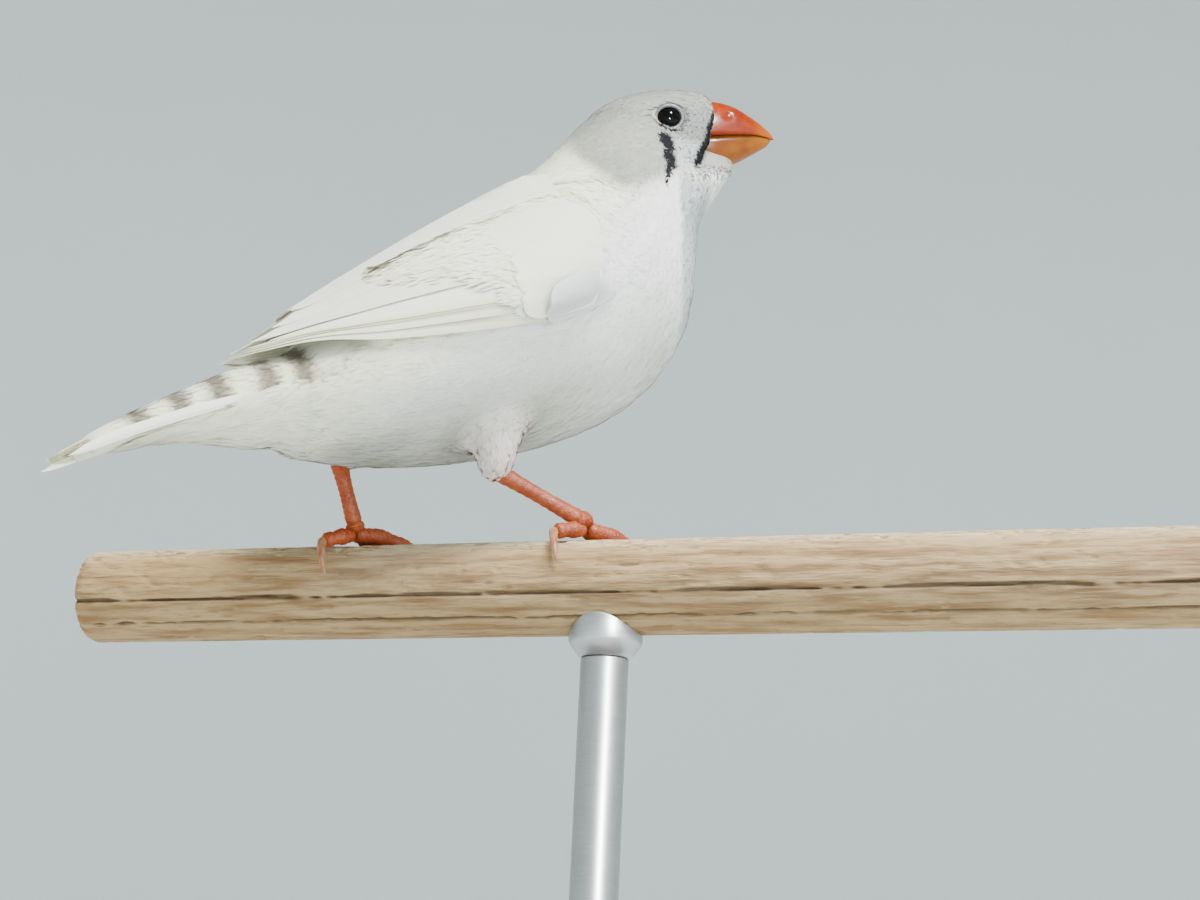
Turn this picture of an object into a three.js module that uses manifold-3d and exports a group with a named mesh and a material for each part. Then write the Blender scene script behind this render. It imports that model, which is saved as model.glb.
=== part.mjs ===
// Zebra finch, white form, life size, gripping a short length of dowel on a display stand.
// Millimetres, +Z up. The origin is the centre of the base's underside and X runs along the perch.
// The bird is built in its own frame, +X forward, +Y to its left, and then turned on the perch.
import * as THREE from "three";
import { mergeVertices } from "three/addons/utils/BufferGeometryUtils.js";
import Module from "manifold-3d";

const wasm = await Module();
wasm.setup();

// Clearance between pieces that touch, and the shortest edge that a cut may leave
const GAP = 0.3;
const WELD = 0.02;

// Perch and stand
const PERCH_RADIUS = 6;
const PERCH_LENGTH = 150;
const PERCH_SHIFT = 4;
const PERCH_HEIGHT = 80;
const BASE_LENGTH = 104;
const BASE_WIDTH = 66;
const BASE_THICK = 8;
const ROD_RADIUS = 3;
const SOCKET_RADIUS = 5.2;
const SOCKET_HEIGHT = 7;
const SADDLE_RADIUS = 4.6;
const SADDLE_DEPTH = 3;
const BASE_CORNER = 9;
const BASE_BEVEL = 1;
const STAND_SIDES = 24;

// Where the bird stands: the middle of its feet along the perch, and how far it is turned from it
const FEET_MIDDLE_X = -18;
const BODY_YAW = THREE.MathUtils.degToRad(47.6);

// Torso and neck, station by station from the tail's root to inside the head.
// Each has its centre, the tilt of the body's axis there, and its half sizes.
const BODY_STATIONS = [
  { x: -37.0, z: 15.8, tilt: 21, up: 2.4, down: 2.6, wide: 3.6 },
  { x: -29.0, z: 18.4, tilt: 24, up: 5.2, down: 5.8, wide: 7.6 },
  { x: -19.5, z: 22.6, tilt: 30, up: 9.2, down: 10.2, wide: 12.2 },
  { x: -9.5, z: 28.8, tilt: 36, up: 12.4, down: 14.8, wide: 15.3 },
  { x: -0.5, z: 35.6, tilt: 40, up: 13.2, down: 18.5, wide: 16.8 },
  { x: 7.5, z: 43.0, tilt: 44, up: 12.6, down: 20.5, wide: 16.6 },
  { x: 13.6, z: 50.2, tilt: 50, up: 11.3, down: 18.9, wide: 14.8 },
  { x: 17.8, z: 57.0, tilt: 57, up: 9.8, down: 13.8, wide: 12.0 },
  { x: 20.6, z: 63.0, tilt: 62, up: 8.6, down: 11.0, wide: 9.6 },
  { x: 22.6, z: 67.4, tilt: 64, up: 6.2, down: 8.2, wide: 7.0 },
];
const BODY_RINGS = 24;
const BODY_SIDES = 28;
const NECK_START = 0.68;
const NECK_END = 0.875;

// Head, in its own frame with +X towards the bill
const HEAD_AT = new THREE.Vector3(23.7, 0, 66.8);
const HEAD_TURN = THREE.MathUtils.degToRad(-22);
const HEAD_PITCH = THREE.MathUtils.degToRad(4);
const HEAD_ROLL = THREE.MathUtils.degToRad(12);
const HEAD_STATIONS = [
  { x: -10.2, top: 0.6, bottom: -2.2, wide: 1.6 },
  { x: -8.6, top: 3.2, bottom: -4.6, wide: 4.6 },
  { x: -5.2, top: 5.4, bottom: -6.6, wide: 6.5 },
  { x: -1.2, top: 6.6, bottom: -7.6, wide: 7.2 },
  { x: 2.6, top: 7.0, bottom: -7.8, wide: 6.9 },
  { x: 5.6, top: 6.8, bottom: -7.0, wide: 5.8 },
  { x: 7.4, top: 6.3, bottom: -5.6, wide: 4.7 },
  { x: 8.6, top: 5.7, bottom: -3.6, wide: 3.6 },
  { x: 9.3, top: 4.8, bottom: -1.2, wide: 2.2 },
];
const CHIN_STATIONS = [
  { x: 2.0, top: -2.0, bottom: -12.0, wide: 6.0 },
  { x: 6.0, top: -2.0, bottom: -11.2, wide: 5.0 },
  { x: 8.8, top: -1.9, bottom: -7.5, wide: 3.6 },
  { x: 10.6, top: -2.2, bottom: -5.1, wide: 2.3 },
  { x: 11.5, top: -2.8, bottom: -3.5, wide: 0.9 },
];
const HEAD_RINGS = 15;
const CHIN_RINGS = 7;
const HEAD_SIDES = 24;

// Bill: the ridge, the line of the mouth and the keel below, from under the feathers to the tip
const BILL_STATIONS = [
  { x: 7.4, ridge: 5.5, mouth: 0.4, keel: -2.2, wide: 3.5 },
  { x: 9.4, ridge: 5.4, mouth: 0.6, keel: -2.6, wide: 3.4 },
  { x: 11.6, ridge: 4.6, mouth: 0.9, keel: -2.8, wide: 2.8 },
  { x: 14.2, ridge: 3.2, mouth: 0.9, keel: -1.5, wide: 1.75 },
  { x: 16.0, ridge: 1.9, mouth: 0.7, keel: -0.4, wide: 0.85 },
];
const BILL_TIP_X = 17.1;
const BILL_TIP_Z = 0.5;
const BILL_SIDES = 12;
const NOSTRIL_AT = new THREE.Vector3(10.1, 2.75, 3.3);
const NOSTRIL_RADIUS = 0.55;

// Eyes, in the head's frame
const EYE_RADIUS = 2.6;
const EYE_AT = new THREE.Vector3(1.25, 3.9, 2.15);
const LID_LENGTH = 3.5;
const LID_HEIGHT = 2.9;
const LID_THICK = 0.42;

// Legs, in the perch's frame for the feet and in the bird's for the thighs.
// Each foot is turned from the perch by FOOT_HEADING, and its toes spread from there.
const LEGS = [
  {
    name: "right",
    side: -1,
    foot: new THREE.Vector3(15.0, -0.5, 8.2),
    ankle: new THREE.Vector3(4.2, -7.4, 14.0),
    thigh: [
      { x: 2.5, y: -8.4, z: 24.2, radius: 7.1 },
      { x: -1.2, y: -9.2, z: 19, radius: 4.6 },
      { x: -2.3, y: -9.1, z: 15.2, radius: 3.3 },
      { x: -1.9, y: -8.9, z: 11.9, radius: 2.1 },
    ],
  },
  {
    name: "left",
    side: 1,
    foot: new THREE.Vector3(-15.6, -2.0, 7.9),
    ankle: new THREE.Vector3(-17.4, -5.2, 16.4),
    thigh: [
      { x: -8, y: 7.6, z: 25, radius: 6.4 },
      { x: -12.5, y: 8.6, z: 20.5, radius: 4.4 },
      { x: -14.6, y: 8.9, z: 17.4, radius: 2.8 },
      { x: -15.2, y: 9.0, z: 15.4, radius: 1.7 },
    ],
  },
];
const SHANK_RADII = [1.25, 1.0, 0.92, 0.98, 1.3];
const FOOT_HEADING = THREE.MathUtils.degToRad(69);
const TOE_SPREAD = THREE.MathUtils.degToRad(21);
const TOE_LENGTHS = [9.2, 11.6, 8.4];
const HALLUX_LENGTH = 4.5;
const HALLUX_CLAW_LENGTH = 6.2;
const TOE_RADII = [1.15, 0.95, 1.1, 0.88, 1.0, 0.75];
const TOE_REST = 1.05;
const CLAW_LENGTH = 5.2;
const CLAW_RADII = [0.62, 0.55, 0.4, 0.14];
const CLAW_LIFTS = [1.05, 1.3, 1.1, 0.4];
const HUB_RADII = [1.3, 1.7, 1.5];
const HUB_DROP = new THREE.Vector3(0, 0, -0.5);
const HALLUX_HEADING = THREE.MathUtils.degToRad(222);
const HALLUX_CLAW_HEADING = THREE.MathUtils.degToRad(286);

// Folded wing: its lower edge, its middle and its upper edge from the wrist to the tip, bird's left side
const WING_LOWER = [
  { x: 10.5, y: 17.1, z: 37.2 },
  { x: 2.0, y: 18.0, z: 32.2 },
  { x: -8.0, y: 17.3, z: 28.8 },
  { x: -20.0, y: 13.4, z: 26.2 },
  { x: -28.0, y: 8.6, z: 25.6 },
  { x: -36.5, y: 1.6, z: 23.1 },
];
const WING_MIDDLE = [
  { x: 12.2, y: 17.2, z: 44.0 },
  { x: 2.0, y: 18.4, z: 42.8 },
  { x: -8.5, y: 16.0, z: 39.1 },
  { x: -20.0, y: 10.8, z: 33.5 },
  { x: -28.0, y: 6.4, z: 28.8 },
  { x: -36.9, y: 1.2, z: 23.6 },
];
const WING_UPPER = [
  { x: 8.3, y: 16.3, z: 51.8 },
  { x: 1.3, y: 10.5, z: 53.9 },
  { x: -8.8, y: 5.8, z: 47.4 },
  { x: -19.7, y: 3.2, z: 38.8 },
  { x: -28.1, y: 1.8, z: 31.5 },
  { x: -37.2, y: 0.7, z: 24.1 },
];
// The wing's bearing layer lies under the feathers and stops short of their tips
const SHIELD_THICK = 2.6;
const SHIELD_DEPTHS = [{ depth: 0.3 }, { depth: 0.85 }, { depth: 0.95 }, { depth: 0.95 }, { depth: 0.9 }];
const SHIELD_END = 0.8;

// Feathers of the wing from the top one down, and of its two rows of coverts. Root and tip are
// shares of the wing's length, and low is the height of the lower edge over the wing's own, in mm.
// splay and draw scale that height at the roots and at the tips. lift is the root's height over the
// wing's surface, and lifts are those of the first and the last tip, which set the layers.
const TERTIALS = {
  count: 3, root: 0.26, tips: [0.6, 0.73], low: [14.2, 9.4], wide: 5.6, drop: 0.4,
  splay: 1, draw: 0.72, lift: -0.3, lifts: [0.1, 0],
};
const SECONDARIES = {
  count: 4, root: 0.3, tips: [0.76, 0.8], low: [9.0, 6.2], wide: 3.2, drop: 1,
  splay: 1.1, draw: 0.95, lift: -0.45, lifts: [-0.05, -0.1],
};
const PRIMARIES = {
  count: 7, root: 0.3, tips: [0.84, 1.0], low: [5.4, 0], wide: 3, drop: 0.9,
  splay: 1.1, draw: 0.95, lift: -0.55, lifts: [-0.1, -0.5],
};
const GREATER_COVERTS = {
  count: 7, root: 0.14, tips: [0.42, 0.4], low: [14.2, 1.2], wide: 3.4, drop: 0.6,
  splay: 1, draw: 1, lift: -0.15, lifts: [0.15, 0.1],
};
const MEDIAN_COVERTS = {
  count: 5, root: 0.03, tips: [0.25, 0.22], low: [14.2, 1.6], wide: 4.4, drop: 0.5,
  splay: 1, draw: 1, lift: 0, lifts: [0.35, 0.3],
};

// Outline and thickness of any such feather, and how deep its root is sunk
const VANE_OUTLINE = [
  { at: 0, wide: 0.5 },
  { at: 0.25, wide: 0.85 },
  { at: 0.55, wide: 1 },
  { at: 0.83, wide: 0.92 },
  { at: 0.95, wide: 0.62 },
  { at: 1, wide: 0.22 },
];
const VANE_THICK = 0.55;
const VANE_TIP_THICK = 0.34;
const ROOT_SINK = 0.9;

// Tail: half width, and the heights of its ridge, its edges and its underside, from root to tip
const TAIL_STATIONS = [
  { x: -23.0, ridge: 27.0, edge: 21.6, keel: 14.2, wide: 7.6 },
  { x: -30.0, ridge: 24.4, edge: 19.4, keel: 13.4, wide: 7.2 },
  { x: -36.5, ridge: 21.3, edge: 16.6, keel: 13.0, wide: 5.6 },
  { x: -43.0, ridge: 17.4, edge: 13.6, keel: 11.9, wide: 5.0 },
  { x: -49.9, ridge: 12.8, edge: 10.2, keel: 9.2, wide: 4.8 },
  { x: -56.3, ridge: 7.8, edge: 6.6, keel: 5.8, wide: 4.5 },
];
const TAIL_START = 0.12;

// Tail feathers, six a side in a steep stack, and the long coverts over and under their roots.
// Root and tip are shares of the tail's length, and edge is the outer edge's share of its half width.
// The first feather lies at lift from the roof and each next one lower by sink. past is how far a
// feather reaches over the ridge, and step is how much shorter each outer cover is.
const RECTRICES = {
  count: 6, root: 0.36, tips: [1, 0.965], edges: [0.42, 1], lift: -0.05, sink: 0.06, stack: 0.32, past: 0.06,
};
const TAIL_COVERS = { drop: 0.2, root: -0.2, upper: 0.12, under: -0.05, step: 0.05, narrow: 0.9 };
const TAIL_COVER_LENGTH = 0.34;
const UPPER_TIPS = [0.74, 0.6, 0.46];
const UNDER_TIPS = [0.8, 0.6];
const COVER_EDGES = [{ edge: 0.95, inner: 0.3 }, { edge: 0.56, inner: -0.08 }];
const TAIL_CORE_DEPTH = 0.75;
const TAIL_CORE_END = 0.7;

// Smooth value of a named size along a list of stations
function along(stations, key, t) {
  const last = stations.length - 1;
  const place = THREE.MathUtils.clamp(t, 0, 1) * last;
  const i = Math.min(Math.floor(place), last - 1);
  const f = place - i;
  const pick = (k) => stations[THREE.MathUtils.clamp(k, 0, last)][key];
  const a = pick(i);
  const b = pick(i + 1);
  const slopeA = i > 0 ? (b - pick(i - 1)) / 2 : b - a;
  const slopeB = i + 1 < last ? (pick(i + 2) - a) / 2 : b - a;
  const f2 = f * f;
  const f3 = f2 * f;
  return a * (2 * f3 - 3 * f2 + 1) + slopeA * (f3 - 2 * f2 + f) + b * (3 * f2 - 2 * f3) + slopeB * (f3 - f2);
}

// Closed skin over a row of rings that all have the same number of points
function loft(rings) {
  const sides = rings[0].length;
  const positions = [];
  for (const ring of rings) {
    for (const p of ring) positions.push(p.x, p.y, p.z);
  }
  const index = [];
  for (let r = 0; r + 1 < rings.length; r++) {
    for (let s = 0; s < sides; s++) {
      const a = r * sides + s;
      const b = r * sides + (s + 1) % sides;
      index.push(a, b, b + sides, a, b + sides, a + sides);
    }
  }
  for (const [r, flip] of [[0, true], [rings.length - 1, false]]) {
    const middle = new THREE.Vector3();
    for (const p of rings[r]) middle.add(p);
    middle.divideScalar(sides);
    const centre = positions.length / 3;
    positions.push(middle.x, middle.y, middle.z);
    for (let s = 0; s < sides; s++) {
      const a = r * sides + s;
      const b = r * sides + (s + 1) % sides;
      index.push(centre, flip ? b : a, flip ? a : b);
    }
  }
  if (signedVolume(positions, index) < 0) {
    for (let i = 0; i < index.length; i += 3) [index[i + 1], index[i + 2]] = [index[i + 2], index[i + 1]];
  }
  const geometry = new THREE.BufferGeometry();
  geometry.setAttribute("position", new THREE.Float32BufferAttribute(positions, 3));
  geometry.setIndex(index);
  return geometry;
}

function signedVolume(positions, index) {
  const corner = (i) => new THREE.Vector3().fromArray(positions, 3 * index[i]);
  let sum = 0;
  for (let i = 0; i < index.length; i += 3) {
    sum += corner(i).dot(corner(i + 1).cross(corner(i + 2)));
  }
  return sum / 6;
}

// Solids for joining and cutting, and back
function solid(geometry) {
  const bare = geometry.clone();
  bare.deleteAttribute("normal");
  bare.deleteAttribute("uv");
  const merged = mergeVertices(bare, 1e-5);
  return new wasm.Manifold(new wasm.Mesh({
    numProp: 3,
    vertProperties: new Float32Array(merged.attributes.position.array),
    triVerts: new Uint32Array(merged.index.array),
  }));
}

function surface(manifold) {
  const pieces = manifold.asOriginal().simplify(WELD).decompose();
  const largest = pieces.reduce((best, part) => (part.volume() > best.volume() ? part : best));
  const mesh = largest.getMesh();
  const geometry = new THREE.BufferGeometry();
  geometry.setAttribute("position", new THREE.Float32BufferAttribute(mesh.vertProperties, 3));
  geometry.setIndex(new THREE.BufferAttribute(mesh.triVerts, 1));
  geometry.computeVertexNormals();
  return geometry;
}

// One ring of the body: an egg section square to its axis
function bodyRing(t, grow) {
  const tilt = THREE.MathUtils.degToRad(along(BODY_STATIONS, "tilt", t));
  const centre = new THREE.Vector3(along(BODY_STATIONS, "x", t), 0, along(BODY_STATIONS, "z", t));
  const upward = new THREE.Vector3(-Math.sin(tilt), 0, Math.cos(tilt));
  const up = along(BODY_STATIONS, "up", t) + grow;
  const down = along(BODY_STATIONS, "down", t) + grow;
  const wide = along(BODY_STATIONS, "wide", t) + grow;
  const ring = [];
  for (let s = 0; s < BODY_SIDES; s++) {
    const a = (2 * Math.PI * s) / BODY_SIDES;
    const lift = Math.sin(a) * (Math.sin(a) > 0 ? up : down);
    ring.push(centre.clone().addScaledVector(upward, lift).add(new THREE.Vector3(0, wide * Math.cos(a), 0)));
  }
  return ring;
}

function bodyGeometry(grow) {
  const rings = [];
  for (let r = 0; r <= BODY_RINGS; r++) rings.push(bodyRing(r / BODY_RINGS, grow));
  return loft(rings);
}

// Tail and its coverts: a shallow roof over a rounded underside
function tailGeometry(grow) {
  const rings = [];
  const steps = 14;
  const sides = 16;
  for (let r = 0; r <= steps; r++) {
    const t = r / steps;
    const keys = ["x", "ridge", "edge", "keel", "wide"];
    const [x, ridge, edge, keel, wide] = keys.map((key) => along(TAIL_STATIONS, key, t));
    const ring = [];
    for (let s = 0; s < sides; s++) {
      const a = (2 * Math.PI * s) / sides;
      const roof = (ridge - edge + grow) * Math.max(0, Math.sin(a)) ** 1.3;
      const belly = (edge - keel + grow) * Math.max(0, -Math.sin(a));
      const back = r === steps ? grow : 0;
      ring.push(new THREE.Vector3(x - back, (wide + grow) * Math.cos(a), edge + roof - belly));
    }
    rings.push(ring);
  }
  return loft(rings);
}

// A place on the roof of the tail or on its underside, by its share of the half width
function tailPlace(side, under) {
  return (t, share, lift) => {
    const keys = ["x", "ridge", "edge", "keel", "wide"];
    const [x, ridge, edge, keel, wide] = keys.map((key) => along(TAIL_STATIONS, key, t));
    const arch = Math.max(0, 1 - share * share);
    const z = under ? edge - (edge - keel) * arch ** 0.5 - lift : edge + (ridge - edge) * arch ** 0.65 + lift;
    return new THREE.Vector3(x, side * wide * share, z);
  };
}

// The tail's bearing core: its form, thinned where feathers lie on it, and short of their tips
function tailCore() {
  const rings = [];
  const steps = 8;
  const sides = 14;
  for (let r = 0; r <= steps; r++) {
    const t = (TAIL_CORE_END * r) / steps;
    const depth = TAIL_CORE_DEPTH * THREE.MathUtils.smoothstep(t, 0.1, 0.45);
    const ring = [];
    for (let s = 0; s < sides; s++) {
      const a = (2 * Math.PI * s) / sides;
      const under = Math.sin(a) < 0;
      ring.push(tailPlace(1, under)(t, Math.cos(a) * (1 - depth / 8), -depth));
    }
    rings.push(ring);
  }
  return loft(rings);
}

function tailFeathers() {
  const feathers = [];
  for (const side of [1, -1]) {
    for (let k = 0; k < RECTRICES.count; k++) {
      const f = k / (RECTRICES.count - 1);
      const edge = THREE.MathUtils.lerp(RECTRICES.edges[0], RECTRICES.edges[1], f);
      feathers.push(vane(tailPlace(side, false), {
        root: RECTRICES.root,
        tip: THREE.MathUtils.lerp(RECTRICES.tips[0], RECTRICES.tips[1], f),
        rootLow: edge,
        tipLow: edge,
        wide: -RECTRICES.past - edge,
        drop: k * (RECTRICES.stack - RECTRICES.sink),
        rootLift: RECTRICES.lift - k * RECTRICES.sink,
        tipLift: RECTRICES.lift - k * RECTRICES.sink,
      }));
    }
    for (const [tips, under] of [[UPPER_TIPS, false], [UNDER_TIPS, true]]) {
      for (const tip of tips) {
        COVER_EDGES.forEach(({ edge, inner }, place) => feathers.push(vane(tailPlace(side, under), {
          root: tip - TAIL_COVER_LENGTH,
          tip: tip - TAIL_COVERS.step * (1 - place),
          rootLow: edge,
          tipLow: edge * TAIL_COVERS.narrow,
          wide: inner - edge,
          drop: TAIL_COVERS.drop,
          rootLift: TAIL_COVERS.root,
          tipLift: under ? TAIL_COVERS.under : TAIL_COVERS.upper,
        })));
      }
    }
  }
  return feathers;
}

// All that lies behind or ahead of a plane square to the body's axis
function bodyHalf(t, ahead) {
  const tilt = THREE.MathUtils.degToRad(along(BODY_STATIONS, "tilt", t));
  const forward = new THREE.Vector3(Math.cos(tilt), 0, Math.sin(tilt));
  const centre = new THREE.Vector3(along(BODY_STATIONS, "x", t), 0, along(BODY_STATIONS, "z", t));
  const size = 160;
  const box = new THREE.BoxGeometry(size, size, size);
  box.rotateY(-tilt);
  centre.addScaledVector(forward, (ahead ? 1 : -1) * (size + GAP) / 2);
  box.translate(centre.x, centre.y, centre.z);
  return solid(box);
}

const headMatrix = new THREE.Matrix4().makeRotationFromEuler(
  new THREE.Euler(HEAD_ROLL, -HEAD_PITCH, HEAD_TURN, "ZYX"),
).setPosition(HEAD_AT);

// Egg sections square to the head's own axis
function eggs(stations, count, sides) {
  const rings = [];
  for (let r = 0; r <= count; r++) {
    const t = r / count;
    const [x, top, bottom, wide] = ["x", "top", "bottom", "wide"].map((key) => along(stations, key, t));
    const ring = [];
    for (let s = 0; s < sides; s++) {
      const a = (2 * Math.PI * s) / sides;
      const height = (top + bottom) / 2 + ((top - bottom) / 2) * Math.sin(a);
      ring.push(new THREE.Vector3(x, wide * Math.cos(a), height));
    }
    rings.push(ring);
  }
  return loft(rings);
}

// A half of the bill: an arch over the line of the mouth, or a keel under it
function mandible(upper, grow) {
  const rings = [];
  const steps = 7;
  const edge = upper ? GAP / 2 : -GAP / 2;
  for (let r = 0; r <= steps; r++) {
    const t = r / steps;
    const x = along(BILL_STATIONS, "x", t) - (r === 0 ? grow : 0);
    const mouth = along(BILL_STATIONS, "mouth", t) + edge - Math.sign(edge) * grow;
    const far = along(BILL_STATIONS, upper ? "ridge" : "keel", t) + Math.sign(edge) * grow;
    const wide = along(BILL_STATIONS, "wide", t) * (upper ? 1 : 0.9) + grow;
    const ring = [];
    for (let s = 0; s < BILL_SIDES; s++) {
      const a = (Math.PI * s) / (BILL_SIDES - 1);
      const round = Math.pow(Math.max(0, Math.sin(a)), 0.85);
      ring.push(new THREE.Vector3(x, wide * Math.cos(a), mouth + (far - mouth) * round));
    }
    rings.push(ring);
  }
  const tipX = BILL_TIP_X - (upper ? 0 : 0.8);
  const tipZ = upper ? BILL_TIP_Z : BILL_TIP_Z - 0.35;
  rings.push(rings[steps].map((p) => new THREE.Vector3(
    tipX + grow,
    p.y * 0.16,
    tipZ + (p.z - tipZ) * 0.16,
  )));
  return loft(rings);
}

function eyeball(side, grow) {
  const ball = new THREE.SphereGeometry(EYE_RADIUS + grow, 18, 10);
  ball.rotateX(Math.PI / 2);
  ball.translate(EYE_AT.x, side * EYE_AT.y, EYE_AT.z);
  return ball;
}

// The rim of bare lid round an eye, lying on the ball
function lids(side) {
  const rings = [];
  const around = 20;
  const section = 5;
  for (let r = 0; r < around; r++) {
    const a = (2 * Math.PI * r) / around;
    const dx = (LID_LENGTH / 2) * Math.cos(a);
    const dz = (LID_HEIGHT / 2) * Math.sin(a);
    const depth = Math.sqrt((EYE_RADIUS + GAP + 0.1) ** 2 - dx * dx - dz * dz);
    const outward = new THREE.Vector3(dx, side * depth, dz).normalize();
    const across = new THREE.Vector3(Math.cos(a), 0, Math.sin(a)).projectOnPlane(outward).normalize();
    const centre = new THREE.Vector3(EYE_AT.x + dx, side * (EYE_AT.y + depth), EYE_AT.z + dz);
    const ring = [];
    for (let s = 0; s < section; s++) {
      const b = (2 * Math.PI * s) / section;
      ring.push(centre.clone()
        .addScaledVector(across, 0.2 + LID_THICK * 1.1 * Math.cos(b))
        .addScaledVector(outward, LID_THICK * Math.sin(b)));
    }
    rings.push(ring);
  }
  return torus(rings);
}

// Closed skin over rings that meet round a loop
function torus(rings) {
  const sides = rings[0].length;
  const positions = [];
  for (const ring of rings) {
    for (const p of ring) positions.push(p.x, p.y, p.z);
  }
  const index = [];
  for (let r = 0; r < rings.length; r++) {
    const next = (r + 1) % rings.length;
    for (let s = 0; s < sides; s++) {
      const a = r * sides + s;
      const b = r * sides + (s + 1) % sides;
      const c = next * sides + (s + 1) % sides;
      const d = next * sides + s;
      index.push(a, b, c, a, c, d);
    }
  }
  if (signedVolume(positions, index) < 0) {
    for (let i = 0; i < index.length; i += 3) [index[i + 1], index[i + 2]] = [index[i + 2], index[i + 1]];
  }
  const geometry = new THREE.BufferGeometry();
  geometry.setAttribute("position", new THREE.Float32BufferAttribute(positions, 3));
  geometry.setIndex(index);
  return geometry;
}

// Tapered round limb along a smooth curve
function limb(points, radii, steps, sides) {
  const curve = new THREE.CatmullRomCurve3(points, false, "centripetal");
  const frames = curve.computeFrenetFrames(steps, false);
  const rings = [];
  for (let r = 0; r <= steps; r++) {
    const t = r / steps;
    const place = curve.getPointAt(t);
    const radius = along(radii.map((value) => ({ value })), "value", t);
    const ring = [];
    for (let s = 0; s < sides; s++) {
      const a = (2 * Math.PI * s) / sides;
      ring.push(place.clone()
        .addScaledVector(frames.normals[r], radius * Math.cos(a))
        .addScaledVector(frames.binormals[r], radius * Math.sin(a)));
    }
    rings.push(ring);
  }
  return loft(rings);
}

// Flat blade through rows of four corners: low and high on the outer face, high and low on the inner.
// Both faces are split into triangles the same way.
function slab(rows) {
  const positions = rows.flat().flatMap((p) => [p.x, p.y, p.z]);
  const index = [];
  const quad = (a, b, c, d) => index.push(a, b, c, a, c, d);
  rows.slice(1).forEach((row, r) => {
    const [low, high, highIn, lowIn] = [0, 1, 2, 3].map((k) => 4 * r + k);
    quad(low, high, high + 4, low + 4);
    quad(highIn + 4, highIn, lowIn, lowIn + 4);
    quad(high, highIn, highIn + 4, high + 4);
    quad(lowIn, low, low + 4, lowIn + 4);
  });
  const end = 4 * (rows.length - 1);
  quad(0, 3, 2, 1);
  quad(end, end + 1, end + 2, end + 3);
  if (signedVolume(positions, index) < 0) {
    for (let i = 0; i < index.length; i += 3) [index[i + 1], index[i + 2]] = [index[i + 2], index[i + 1]];
  }
  const geometry = new THREE.BufferGeometry();
  geometry.setAttribute("position", new THREE.Float32BufferAttribute(positions, 3));
  geometry.setIndex(index);
  return geometry;
}

// One feather laid on a surface that is given as a function of length, height and lift
function vane(place, feather) {
  const rows = VANE_OUTLINE.map(({ at, wide }) => {
    const u = THREE.MathUtils.lerp(feather.root, feather.tip, at);
    const span = feather.wide * wide;
    const narrowing = at > 0.5 ? (feather.wide - span) * 0.4 : 0;
    const low = THREE.MathUtils.lerp(feather.rootLow, feather.tipLow, at) + narrowing;
    const lift = THREE.MathUtils.lerp(feather.rootLift, feather.tipLift, at) - (at === 0 ? ROOT_SINK : 0);
    const thick = at > 0.9 ? VANE_TIP_THICK : VANE_THICK;
    return [
      place(u, low, lift),
      place(u, low + span, lift - feather.drop * wide),
      place(u, low + span, lift - feather.drop * wide - thick),
      place(u, low, lift - thick),
    ];
  });
  return slab(rows);
}

const model = new THREE.Group();
const bird = new THREE.Group();
bird.position.set(FEET_MIDDLE_X, 0, PERCH_HEIGHT);
bird.rotation.z = BODY_YAW;
model.add(bird);
const grip = new THREE.Group();
grip.position.set(FEET_MIDDLE_X, 0, PERCH_HEIGHT);
model.add(grip);

const finishes = {
  plumage: new THREE.MeshStandardMaterial({ color: 0xeceae4, roughness: 0.9, metalness: 0 }),
  bill: new THREE.MeshStandardMaterial({ color: 0xe8601c, roughness: 0.35, metalness: 0 }),
  leg: new THREE.MeshStandardMaterial({ color: 0xe07a4e, roughness: 0.5, metalness: 0 }),
  claw: new THREE.MeshStandardMaterial({ color: 0xd9a184, roughness: 0.4, metalness: 0 }),
  eye: new THREE.MeshStandardMaterial({ color: 0x120b09, roughness: 0.05, metalness: 0 }),
  wood: new THREE.MeshStandardMaterial({ color: 0xcbaa80, roughness: 0.8, metalness: 0 }),
  base: new THREE.MeshStandardMaterial({ color: 0x3a322c, roughness: 0.45, metalness: 0 }),
  steel: new THREE.MeshStandardMaterial({ color: 0xb8bcc0, roughness: 0.35, metalness: 1 }),
};

function piece(parent, name, geometry, finish) {
  const mesh = new THREE.Mesh(geometry, finishes[finish].clone());
  mesh.name = name;
  parent.add(mesh);
  return mesh;
}

// Body, neck and head: one form, parted by two thin cuts
const bodyForm = solid(bodyGeometry(0)).add(solid(tailCore()));
const headForm = solid(eggs(HEAD_STATIONS, HEAD_RINGS, HEAD_SIDES).applyMatrix4(headMatrix))
  .add(solid(eggs(CHIN_STATIONS, CHIN_RINGS, 18).applyMatrix4(headMatrix)));
const whole = bodyForm.add(headForm);
const grownBody = solid(bodyGeometry(GAP)).add(solid(tailGeometry(GAP)));

let head = whole.intersect(bodyHalf(NECK_END, true));
for (const upper of [true, false]) {
  head = head.subtract(solid(mandible(upper, GAP).applyMatrix4(headMatrix)));
}
for (const side of [1, -1]) {
  head = head.add(solid(lids(side).applyMatrix4(headMatrix)));
  head = head.subtract(solid(eyeball(side, GAP).applyMatrix4(headMatrix)));
}
const torso = whole.intersect(bodyHalf(TAIL_START, true)).intersect(bodyHalf(NECK_START, false));
const neck = whole.intersect(bodyHalf(NECK_START, true)).intersect(bodyHalf(NECK_END, false));
piece(bird, "torso", surface(torso), "plumage");
let tail = whole;
for (const feather of tailFeathers()) tail = tail.add(solid(feather));
piece(bird, "tail", surface(tail.intersect(bodyHalf(TAIL_START, false))), "plumage");
piece(bird, "neck", surface(neck), "plumage");
piece(bird, "head", surface(head), "plumage");

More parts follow.
